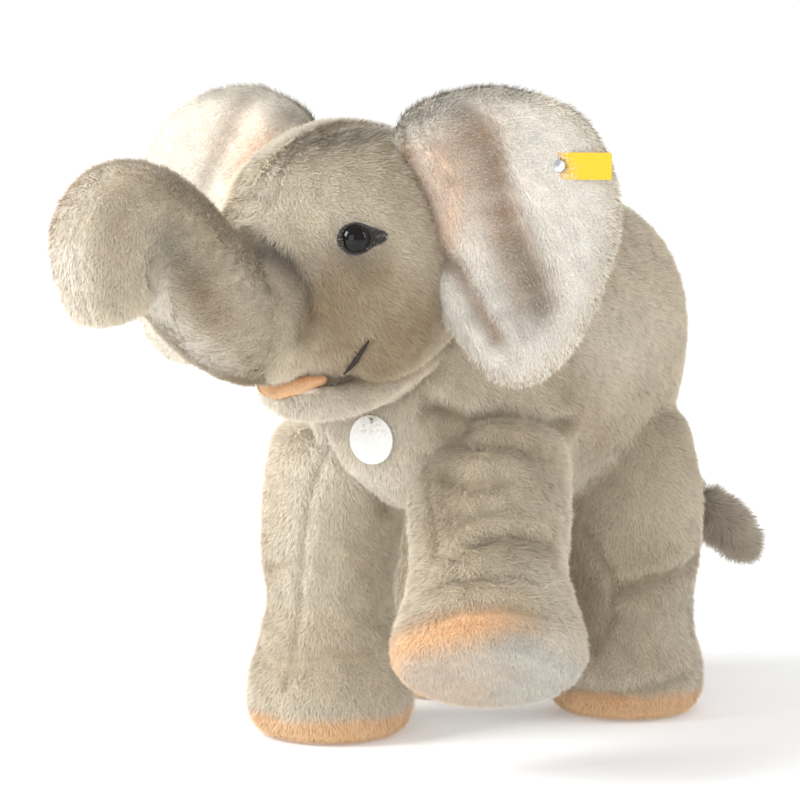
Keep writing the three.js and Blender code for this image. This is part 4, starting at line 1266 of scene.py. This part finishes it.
    def paint(self, q: Array, n: Array, colour: Array) -> Array:
        """Cream strip under the trunk and, fainter, on the back of its end, and a pale chin."""
        pts = np.array([(0, y, z) for y, z in self.spine], float)
        strip = np.zeros(len(q))
        for a, b in zip(pts[:-1], pts[1:]):
            way = (b - a) / np.linalg.norm(b - a)
            under = np.array([0, -way[2], way[1]])
            t = np.clip(((q - a) @ (b - a)) / ((b - a) @ (b - a)), 0, 1)
            d = q - (a + t[:, None] * (b - a))
            near = np.linalg.norm(d, axis=1) < 56
            strip = np.maximum(strip, near * smooth((d @ under - 8) / 8) * smooth((15 - np.abs(q[:, 0])) / 3))
            back = near * smooth((-(d @ under) - 8) / 8) * smooth((15 - np.abs(q[:, 0])) / 3)
            strip = np.maximum(strip, back * 0.5 * smooth((-170 - q[:, 1]) / 20))
        strip *= smooth((-140 - q[:, 1]) / 14)
        colour = over(colour, Tone.CREAM.light, 0.7 * strip)
        chin = smooth((248 - q[:, 2]) / 4) * smooth((-26 - q[:, 1]) / 14)
        return over(colour, Tone.PALE.light, 0.6 * chin)

    def build(self, wardrobe: Wardrobe) -> bpy.types.Object:
        """Makes the head and the trunk's two lengths.

        Args:
            wardrobe: the materials.
        Returns:
            The head's skin, for what is sewn on it.
        """
        skull = ["head_side_left", "head_side_right", "crown_strip", "nape_panel", "chin_panel"]
        root, tip = ["trunk_cover", "trunk_strip"], ["trunk_end_cover", "trunk_end_strip"]
        whole = loft_object("whole_head", self.forms(), HEAD.row)
        remesh(whole, self.voxel, self.relax)
        hide = self.hide()
        hide.shape(whole, HEAD.local, HEAD.row)
        hide.dress(whole, HEAD.local, self.nap, self.paint)
        forward = HEAD.aim(np.array([[0, -1.0, 0]]))[0]

        def at(y: float) -> Array:
            """A row point that far along the head's own Y."""
            return HEAD.row(np.array([[0, y, 300.0]]))[0]

        def bend(a: str, b: str, y0: float, y1: float) -> Callable[[bpy.types.Object], None]:
            """Gives a function that bakes an object's transform; the bodies and span are passed on but not
            used.
            """
            return lambda o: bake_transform(o, a, b, start=tuple(at(y0) * MM), end=tuple(at(y1) * MM))

        head = cut(whole, "head_plush", at(self.root_cut), forward, False)
        rest = cut(whole, "trunk_whole", at(self.root_cut), forward, True)
        trunk = cut(rest, "trunk_plush", at(self.curl_cut), forward, False)
        end = cut(rest, "trunk_end_plush", at(self.curl_cut), forward, True)
        for one in (whole, rest):
            bpy.data.objects.remove(one)
        eyes = HEAD.row(np.array(self.both([EYE_AT])).reshape(-1, 3))
        lip = HEAD.row(np.array([(-14, -104, 242.0), (0, -105, 243), (12, -103, 244), (22, -97, 246)]))

        def bare(q: Array) -> Array:
            """No pile under the eyes or on the mouth's lining."""
            near_eye = np.minimum(*[np.linalg.norm(q - e, axis=1) for e in eyes]) < 10.5
            return near_eye | (reach(q, [tuple(v) for v in lip]) < 6.5)

        Plush(head, skull + ["head_stuffing"]).sew(
            wardrobe, Pile(seed=23), lambda o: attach(o, "head"), bare)
        Plush(trunk, root + ["trunk_stuffing"]).sew(
            wardrobe, Pile(seed=29, length=5.5), bend("head", "trunk", self.root_cut, self.root_end))
        Plush(end, tip + ["trunk_end_stuffing"]).sew(
            wardrobe, Pile(seed=31, length=5.5), bend("trunk", "trunk_end", self.curl_cut, self.curl_end))
        return head


# ------------------------------------------------------------------ ears
@dataclass
class Ear:
    """One padded ear: a grey back that wraps the rim and a pale front laid on it."""

    side: int
    name: str
    sweep: float
    layer: float = 4.6
    cup: float = 16.0
    root: Triple = (30, -42, 401)
    root_low: Triple = (71, -38, 279)
    centre: tuple[float, float] = (62, 335)
    outline: tuple[tuple[float, float], ...] = (
        (4, 388), (14, 408), (36, 421), (59, 425), (92, 418), (116, 403), (130, 374), (133, 344), (126, 315),
        (116, 287), (100, 262), (76, 247), (48, 252), (22, 268), (4, 287), (0, 320), (0, 358))
    valley: tuple = ((49, 412), (58, 385), (66, 362), (78, 335), (88, 310), (92, 292))
    ridge: tuple = ((32, 405), (38, 375), (46, 345), (58, 318))
    nip: tuple = ((14, 323), (30, 318), (42, 296), (58, 277), (72, 266))
    lobe: tuple = ((16, 304), (28, 290), (42, 270))
    rings: int = 34
    spokes: int = 150
    margin: float = 0.955
    flare: float = 0.0

    def edge(self) -> Array:
        """The smooth outline, closed, as points (x, z)."""
        pts = np.array(self.outline, float)
        n = len(pts)
        out = []
        for k in range(self.spokes):
            t = k / self.spokes * n
            i, f = int(t) % n, t - int(t)
            p0, p1, p2, p3 = (pts[(i + j - 1) % n] for j in range(4))
            out.append(0.5 * ((2 * p1) + (p2 - p0) * f + (2 * p0 - 5 * p1 + 4 * p2 - p3) * f ** 2
                              + (3 * p1 - p0 - 3 * p2 + p3) * f ** 3))
        return np.array(out)

    @staticmethod
    def run(x: Array, z: Array, line: Sequence[tuple[float, float]], width: float) -> Array:
        """How near places are to a line on the ear, from 0 to 1."""
        return np.exp(-((reach(np.stack([x, 0 * x, z], 1), [(a, 0.0, b) for a, b in line]) / width) ** 2))

    def folds(self, x: Array, z: Array) -> Array:
        """How far the ear's middle plane stands back at a place on it, folds included."""
        base = -self.cup * np.sin(np.clip(x, 0, 135) / 135 * math.pi) * 0.5
        fold = 4.5 * self.run(x, z, self.valley, 8) - 4.0 * self.run(x, z, self.ridge, 11)
        fold += 5.0 * self.run(x, z, self.nip, 6) - 3.0 * self.run(x, z, self.lobe, 9)
        return base + fold

    def place(self, q: Array) -> Array:
        """Takes points in the ear's plane to the row frame.

        Args:
            q: points as x outward, y back and z up, in millimetres.
        Returns:
            Row points in millimetres.
        """
        q = q.copy()
        top, low = np.array(self.root, float), np.array(self.root_low, float)
        lean = math.atan2(low[0] - top[0], top[2] - low[2])
        pivot = (top + low) / 2
        q[:, 0] += self.flare * (pivot[2] - q[:, 2]) * np.clip(q[:, 0] / 100, 0, 1)
        q[:, 0] *= self.side
        away = np.maximum(0, 1 - np.abs(q[:, 0]) / 60)
        q[:, 0] -= math.tan(lean) * self.side * away * (q[:, 2] - pivot[2])
        stand = Stand(self.side * self.sweep, (self.side * pivot[0], pivot[1], 0))
        return HEAD.row(stand.row(q))

    def pad(self, name: str, k_max: float, front: float, back: float, lift: float) -> tuple:
        """A closed pad over the part of the ear inside a share of its outline.

        Args:
            name: the object's name.
            k_max: the share of the outline that it reaches.
            front: how far its front stands before the middle plane.
            back: how far its back stands behind it.
            lift: how much its front rises in the middle.
        Returns:
            The object and its points in the ear's plane.
        """
        edge, centre = self.edge(), np.array(self.centre, float)
        rows, ks = [], np.linspace(0, 1, self.rings + 1)[1:]
        verts = []
        for face in (-1, 1):
            thick = front if face < 0 else back
            verts.append(np.array([[centre[0], face * (thick + lift), centre[1]]]))
            for k in ks:
                flat = centre + (edge - centre) * k * k_max
                round_ = thick * math.sqrt(max(0.0, 1 - k ** 10)) + lift * (1 - k * k)
                verts.append(np.stack([flat[:, 0], np.full(len(flat), face * round_), flat[:, 1]], axis=1))
            rows.append(len(np.concatenate(verts)))
        q = np.concatenate(verts)
        half, n = rows[0], self.spokes
        faces = []
        for offset, order in ((0, 1), (half, -1)):
            for j in range(n):
                i = (j + 1) % n
                tri = (offset, offset + 1 + j, offset + 1 + i)
                faces.append(tri[::order])
                for r in range(self.rings - 1):
                    a, b = offset + 1 + r * n, offset + 1 + (r + 1) * n
                    faces.append((a + j, b + j, b + i, a + i)[::order])
        made_q = q.copy()
        made_q[:, 1] += self.folds(q[:, 0], q[:, 2])
        obj = new_object(name, self.place(made_q) * MM, faces)
        pick(obj)
        bpy.ops.object.mode_set(mode="EDIT")
        bpy.ops.mesh.select_all(action="SELECT")
        bpy.ops.mesh.remove_doubles(threshold=1e-6)
        bpy.ops.mesh.normals_make_consistent(inside=False)
        bpy.ops.object.mode_set(mode="OBJECT")
        bpy.ops.object.shade_smooth()
        return obj

    def local(self, p: Array) -> Array:
        """Row points in the ear's plane, without its shear."""
        top, low = np.array(self.root, float), np.array(self.root_low, float)
        pivot = (top + low) / 2
        stand = Stand(self.side * self.sweep, (self.side * pivot[0], pivot[1], 0))
        q = stand.local(HEAD.local(p))
        lean = math.atan2(low[0] - top[0], top[2] - low[2])
        away = np.maximum(0, 1 - np.abs(q[:, 0]) / 60)
        q[:, 0] += math.tan(lean) * self.side * away * (q[:, 2] - pivot[2])
        q[:, 0] *= self.side
        q[:, 0] -= self.flare * (pivot[2] - q[:, 2]) * np.clip(q[:, 0] / 100, 0, 1)
        return q

    def nap(self, p: Array, n: Array) -> Array:
        """Pile runs outward from the root and down."""
        q = self.local(p)
        way = np.stack([q[:, 0] - 10, 0 * q[:, 0], (q[:, 2] - 380)], axis=1)
        way = unit(way) + np.array([0.2, 0, -0.5])
        way += 0.4 * np.stack([waves(p, 30, 51), waves(p, 30, 52), waves(p, 30, 53)], axis=1)
        way[:, 0] *= self.side
        stand = Stand(self.side * self.sweep, (0, 0, 0))
        return HEAD.aim(stand.aim(way))

    def front_hide(self) -> Hide:
        """The pale front with airbrushed colour and painted shade along its folds."""
        g = Tone

        def flat(line: Sequence[tuple[float, float]]) -> list[Triple]:
            """A line on the ear as points."""
            return [(x, 0.0, z) for x, z in line]

        if self.side < 0:
            return Hide(base=g.IVORY, tints=[
                Tint(flat([(10, 330), (24, 352), (30, 372)]), 20, g.PEACH, 0.8),
                Tint(flat([(30, 418), (12, 404), (56, 422)]), 10, g.SMOKE, 0.6),
                Tint(flat([(52, 400), (46, 380)]), 14, g.PINK, 0.3)])
        return Hide(base=g.WHITE, tints=[
            # the smoke and taupe strokes that follow the valley and the nip, and the strong taupe stroke
            # beside the head, are painted shade of the folds; the others are airbrushed colour
            Tint(flat([(46, 410), (55, 390), (62, 368)]), 6, g.SMOKE, 0.65),
            Tint(flat([(50, 398), (56, 370), (66, 342), (76, 318), (84, 300)]), 14, g.TAUPE, 0.68),
            Tint(flat([(64, 352), (72, 330), (80, 312)]), 8, g.TAUPE, 0.45),
            Tint(flat([(76, 326), (84, 308), (88, 292)]), 12, g.SMOKE, 0.42),
            Tint(flat([(30, 384), (36, 366)]), 9, g.PEACH, 0.3),
            Tint(flat([(8, 396), (14, 372), (18, 344), (20, 330)]), 9, g.TAUPE, 0.85),
            Tint(flat([(34, 352), (30, 336)]), 9, g.PEACH, 0.35),
            Tint(flat([(28, 376), (34, 348)]), 13, g.PINK, 0.35),
            Tint(flat([(38, 396), (42, 376), (48, 350)]), 9, g.TAUPE, 0.25),
            Tint(flat([(14, 323), (32, 317), (44, 296), (60, 276)]), 7, g.TAUPE, 0.65),
            Tint(flat([(62, 300), (76, 284), (84, 290)]), 14, g.SMOKE, 0.2),
            Tint(flat([(16, 410), (34, 414)]), 12, g.SMOKE, 0.4)])

    def build(self, wardrobe: Wardrobe) -> None:
        """Makes the front and back of the ear and bakes them in place on the head.

        Args:
            wardrobe: the materials.
        """
        back = self.pad(f"ear_back_{self.name}_plush", 1.0, self.layer * 0.6, self.layer, 0.5)
        front = self.pad(f"ear_front_{self.name}_plush", self.margin, self.layer * 1.15, -0.5, 0.8)
        grey = Hide(base=Tone.PALE, tints=[
            Tint([(4, 0, 392), (30, 0, 420), (76, 0, 426)], 12, Tone.SMOKE, 0.6)])
        for obj, hide in ((back, grey), (front, self.front_hide())):
            hide.dress(obj, lambda p: self.local(p) * np.array([1.0, 0.0, 1.0]), self.nap)
        start = self.place(np.array([[4.0, 0, 340.0]]))[0]
        end = self.place(np.array([[34.0, 0, 340.0]]))[0]

        def bend(o: bpy.types.Object) -> None:
            """Bakes the ear's transform in place; nothing joins it to the head."""
            tuple(start * MM)
            tuple(end * MM)
            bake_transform(o)

        Plush(back, [f"ear_back_{self.name}"], "grey_plush", 0.3).sew(wardrobe, Pile(seed=37), bend)
        Plush(front, [f"ear_front_{self.name}"], "pale_ear_plush", 0.3).sew(
            wardrobe, Pile(length=4.2, lean=62, seed=41, scatter=0.5), bend)


# ------------------------------------------------------------------ tail
@dataclass
class Tail:
    """The tail's soft tube and its long loose tuft."""

    voxel: float = 2.6
    root: Triple = (12.2, 201.6, 216.0)
    bend: float = 22.0
    tuft_long: float = 0.95
    tuft_thick: float = 0.5

    def build(self, wardrobe: Wardrobe) -> None:
        """Makes the tube and the tuft.

        Args:
            wardrobe: the materials.
        """
        tube = copy_nodes("tail_plush", ["tail_cover"])
        remesh(tube, self.voxel, 6)
        low, high = (np.array(c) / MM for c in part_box("tail_tuft"))
        root = np.array(self.root)
        tip = (low + high) / 2
        way = unit(tip - root)
        Hide(base=Tone.GREY).dress(tube, same, lambda p, n: np.repeat(way[None], len(p), axis=0))
        start, end = root * MM, (root + way * self.bend) * MM
        Plush(tube, ["tail_cover", "tail_core"]).sew(
            wardrobe, Pile(seed=43, length=5),
            lambda o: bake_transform(o))
        tuft = copy_nodes("tail_tuft_plush", ["tail_tuft"])
        remesh(tuft, self.voxel, 8)
        p = points_of(tuft.data)
        along = ((p - tip) @ way)[:, None] * way
        move_points(tuft.data, tip + along * self.tuft_long + (p - tip - along) * self.tuft_thick)
        Hide(base=Tone.TUFT).dress(
            tuft, same, lambda p, n: np.repeat(way[None] * 1.2, len(p), axis=0) + n * 0.5)
        Plush(tuft, ["tail_tuft"], "long_pile_plush", 0.3).sew(
            wardrobe, Pile(length=16, width=0.8, density=3.4, lean=58, scatter=0.7, root=0.62,
                           tip=1.25, seed=47), lambda o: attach(o, "tail"))


# ------------------------------------------------------------------ face and trimmings
@dataclass
class Face:
    """Eyes, felt patches and the mouth's corner stitches."""

    eye_radius: float = 8.7
    eye_depth: float = 0.72
    around: int = 48
    patch_radius: float = 11.6
    patch_point: float = 9.5
    patch_hole: float = 6.0
    thread: float = 1.5

    def frame_of(self, skin: bpy.types.Object, side: int) -> tuple[Array, Array]:
        """The point of the head under an eye and the outward direction there."""
        tree = BVHTree.FromObject(skin, bpy.context.evaluated_depsgraph_get())
        x, y, z = EYE_AT
        target = HEAD.row(np.array([[x * side, y, z]]))[0] * MM
        spot, normal, _, _ = tree.find_nearest(Vector(target))
        return np.array(spot) / MM, np.array(normal)

    def build(self, skin: bpy.types.Object, wardrobe: Wardrobe) -> None:
        """Makes both sides of the face.

        Args:
            skin: the head's skin.
            wardrobe: the materials.
        """
        tree = BVHTree.FromObject(skin, bpy.context.evaluated_depsgraph_get())
        for side, name in ((1, "left"), (-1, "right")):
            spot, out = self.frame_of(skin, side)
            back = HEAD.aim(np.array([[0, 1.0, 0.0]]))[0]
            back = unit(back - out * (back @ out))
            up = np.cross(out, back)
            if up[2] < 0:
                up = -up
            self.dome(name, spot, out, wardrobe)
            self.patch(name, tree, spot, out, back, up, wardrobe)
        for side, name in ((1, "left"), (-1, "right")):
            self.stitch(name, side, tree, wardrobe)

    def dome(self, name: str, spot: Array, out: Array, wardrobe: Wardrobe) -> None:
        """The glossy eye, a flattened sphere."""
        bpy.ops.object.select_all(action="DESELECT")
        bpy.ops.mesh.primitive_uv_sphere_add(segments=48, ring_count=28, radius=self.eye_radius * MM)
        obj = bpy.context.object
        obj.name = obj.data.name = f"eye_{name}_glass"
        obj.scale = (1, 1, self.eye_depth)
        obj.rotation_mode = "QUATERNION"
        obj.rotation_quaternion = Vector(tuple(out)).to_track_quat("Z", "Y")
        obj.location = tuple((spot + out * 1.6) * MM)
        bpy.ops.object.transform_apply(location=True, rotation=True, scale=True)
        bpy.ops.object.shade_smooth()
        obj.data.materials.append(wardrobe.eye)
        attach(obj, "head")
        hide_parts(f"eye_{name}", f"eye_washer_{name}")

    def patch(self, name: str, tree: BVHTree, spot: Array, out: Array, back: Array, up: Array,
              wardrobe: Wardrobe) -> None:
        """The black felt behind the eye, drawn out to a point at its outer corner."""
        rim, inner = [], []
        count, hole = self.around, self.patch_hole
        for k in range(count):
            a = 2 * math.pi * k / count
            off_corner = a if a < math.pi else a - 2 * math.pi
            r = self.patch_radius + self.patch_point * math.exp(-(off_corner / 0.42) ** 2)
            rim.append(spot + back * r * math.cos(a) + up * r * 0.86 * math.sin(a))
            inner.append(spot + back * hole * math.cos(a) + up * hole * math.sin(a))
        verts, faces = [], []
        for ring, lift in ((inner, 3.4), (rim, 3.2), (rim, 1.4), (inner, 1.2)):
            for p in ring:
                hit, normal, _, _ = tree.find_nearest(Vector(tuple(p * MM)))
                verts.append((np.array(hit) / MM + np.array(normal) * lift) * MM)
        for ring in range(4):
            here, beyond = ring * count, (ring + 1) % 4 * count
            for k in range(count):
                after = (k + 1) % count
                faces.append((here + k, here + after, beyond + after, beyond + k))
        obj = new_object(f"eye_patch_{name}_felt", np.array(verts), faces)
        turn_outward(obj)
        bpy.ops.object.modifier_add(type="SUBSURF")
        bpy.ops.object.modifier_apply(modifier=obj.modifiers[-1].name)
        bpy.ops.object.shade_smooth()
        obj.data.materials.append(wardrobe.felt)
        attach(obj, "head")
        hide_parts(f"eye_patch_{name}")

    def stitch(self, name: str, side: int, tree: BVHTree, wardrobe: Wardrobe) -> None:
        """A run of dark stitches at the corner of the mouth."""
        line = HEAD.row(np.array([(side * 57, -80, 274.0), (side * 48, -84, 262.0), (side * 36, -80, 249.0)]))
        pts = []
        for t in np.linspace(0, 1, 9):
            p = line[0] * (1 - t) ** 2 + line[1] * 2 * t * (1 - t) + line[2] * t * t
            hit, normal, _, _ = tree.find_nearest(Vector(tuple(p * MM)))
            pts.append((np.array(hit) / MM, np.array(normal)))
        even = np.array([v for v, _ in pts])
        for _ in range(6):
            even[1:-1] = (even[:-2] + even[1:-1] + even[2:]) / 3
        facing = unit(sum(n for _, n in pts))
        pts = [(v + facing * 1.2, facing) for v in even]
        verts, faces = [], []
        for i, (p, n) in enumerate(pts):
            way = unit(pts[min(i + 1, 8)][0] - pts[max(i - 1, 0)][0])
            across = np.cross(way, n)
            size = self.thread * (0.35 + 0.65 * math.sin(math.pi * (i + 0.4) / 8.8))
            for k in range(8):
                a = 2 * math.pi * k / 8
                verts.append((p + n * (2.6 + size * math.sin(a)) + across * size * math.cos(a)) * MM)
        for i in range(8):
            for k in range(8):
                faces.append((i * 8 + k, i * 8 + (k + 1) % 8, (i + 1) * 8 + (k + 1) % 8, (i + 1) * 8 + k))
        faces += [tuple(range(7, -1, -1)), tuple(range(64, 72))]
        obj = new_object(f"mouth_stitch_{name}_thread", np.array(verts), faces)
        turn_outward(obj)
        bpy.ops.object.shade_smooth()
        obj.data.materials.append(wardrobe.thread)
        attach(obj, "head")
        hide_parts(f"mouth_stitch_{name}")


@dataclass
class Trimmings:
    """The frame's own small hard pieces, each given its finish, and the mouth's plush lining."""

    def build(self, wardrobe: Wardrobe) -> None:
        """Dresses the pieces that the frame already shapes well and makes the lining."""
        finishes = {"chest_tag": wardrobe.card, "ear_flag": wardrobe.ribbon, "ear_button": wardrobe.steel,
                    "ear_button_washer": wardrobe.steel, "tag_fastener": wardrobe.nylon}
        for node, material in finishes.items():
            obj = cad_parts[node]
            obj.data.materials.clear()
            obj.data.materials.append(material)
        lining = loft_object("mouth_lining_plush", [Loft(
            [((-18, -99, 241), 5, 4), ((-8, -103, 241.5), 7, 6), ((6, -103, 243), 7.5, 6.5),
             ((17, -98, 245), 6, 5), ((25, -92, 247), 3.5, 3)], (5, 5))], HEAD.row)
        remesh(lining, 1.4, 2)
        Hide(base=Tone.PEACH).dress(
            lining, same, lambda p, n: np.repeat(np.array([[0, -0.3, -1.0]]), len(p), axis=0))
        Plush(lining, ["mouth_lining"], "peach_plush", 0.2).sew(
            wardrobe, Pile(length=2.5, density=3, seed=53), lambda o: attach(o, "head"))


# ------------------------------------------------------------------ studio
@dataclass
class Studio:
    """A white sweep, soft lamps and the camera."""

    azimuth: float = 30.0
    elevation: float = 6.0
    distance: float = 2.0
    scale: float = 0.675
    base: tuple[float, float] = (78.0, -319.5)
    ambient: float = 0.62

    def build(self) -> None:
        """Makes the floor, lamps, world and camera."""
        bpy.ops.object.select_all(action="DESELECT")
        bpy.ops.mesh.primitive_plane_add(size=60)
        floor = bpy.context.object
        floor.name = "floor"
        t = Tree("floor_white")
        off = t.node("ShaderNodeVectorMath", {"operation": "LENGTH"}, {0: t.place()}, out="Value")
        far = t.node("ShaderNodeMapRange", {}, {"Value": off, "From Min": 0.35, "From Max": 1.5})
        glow = t.mix(far, (0.22, 0.22, 0.22), (0.6, 0.6, 0.6))
        floor.data.materials.append(t.finish(
            Base_Color=(0.93, 0.93, 0.93), Roughness=0.9, Emission_Color=glow, Emission_Strength=1.0))
        world = bpy.data.worlds.new("studio")
        bpy.context.scene.world = world
        world.use_nodes = True
        nodes, links = world.node_tree.nodes, world.node_tree.links
        sky, seen = nodes["Background"], nodes.new("ShaderNodeLightPath")
        white, pick_one = nodes.new("ShaderNodeBackground"), nodes.new("ShaderNodeMixShader")
        sky.inputs["Color"].default_value = white.inputs["Color"].default_value = (1, 1, 1, 1)
        sky.inputs["Strength"].default_value, white.inputs["Strength"].default_value = self.ambient, 1.05
        links.new(seen.outputs["Is Camera Ray"], pick_one.inputs[0])
        links.new(sky.outputs[0], pick_one.inputs[1])
        links.new(white.outputs[0], pick_one.inputs[2])
        links.new(pick_one.outputs[0], nodes["World Output"].inputs[0])
        view = bpy.context.scene.view_settings
        view.view_transform, view.look, view.exposure, view.gamma = "Standard", "None", 0.0, 1.0
        self.lamp("key", (-1.5, -1.8, 1.7), 1.3, 70)
        self.lamp("front", (0.6, -2.6, 0.9), 1.4, 12)
        self.lamp("rim", (2.2, 0.9, 1.3), 1.4, 16)
        self.camera()

    def lamp(self, name: str, at: Triple, size: float, power: float) -> None:
        """One soft lamp aimed at the toy."""
        data = bpy.data.lights.new(name, "AREA")
        data.size, data.energy = size, power
        obj = bpy.data.objects.new(name, data)
        obj.location = at
        obj.rotation_euler = (Vector((0, 0, 0.2)) - Vector(at)).to_track_quat("-Z", "Y").to_euler()
        bpy.context.scene.collection.objects.link(obj)

    def camera(self) -> None:
        """The camera at the toy's front left."""
        a, e = math.radians(self.azimuth), math.radians(self.elevation)
        back = Vector((math.sin(a) * math.cos(e), -math.cos(a) * math.cos(e), math.sin(e)))
        right = Vector((math.cos(a), math.sin(a), 0))
        up = back.cross(right)
        x, y = (v * self.scale * MM for v in self.base)
        place = back * self.distance - right * x - up * y + Vector(tuple(SHIFT * MM))
        data = bpy.data.cameras.new("camera")
        data.sensor_width = 36
        data.lens = 36 * self.distance / (self.scale * MM) / 800
        data.clip_end = 50
        obj = bpy.data.objects.new("camera", data)
        obj.matrix_world = Matrix((right, up, back)).transposed().to_4x4()
        obj.matrix_world.translation = place
        bpy.context.scene.collection.objects.link(obj)
        bpy.context.scene.camera = obj


def main() -> None:
    """Builds the studio and then the toy, piece by piece."""
    logging.basicConfig(level=logging.INFO, format="%(message)s")
    Studio().build()
    wardrobe = Wardrobe.stock()
    Trunkless().build(wardrobe)
    skin = Head().build(wardrobe)
    Ear(1, "left", 25.0).build(wardrobe)
    Ear(-1, "right", -18.0, flare=0.22).build(wardrobe)
    Tail().build(wardrobe)
    Face().build(skin, wardrobe)
    Trimmings().build(wardrobe)


if __name__ == "__main__":
    main()
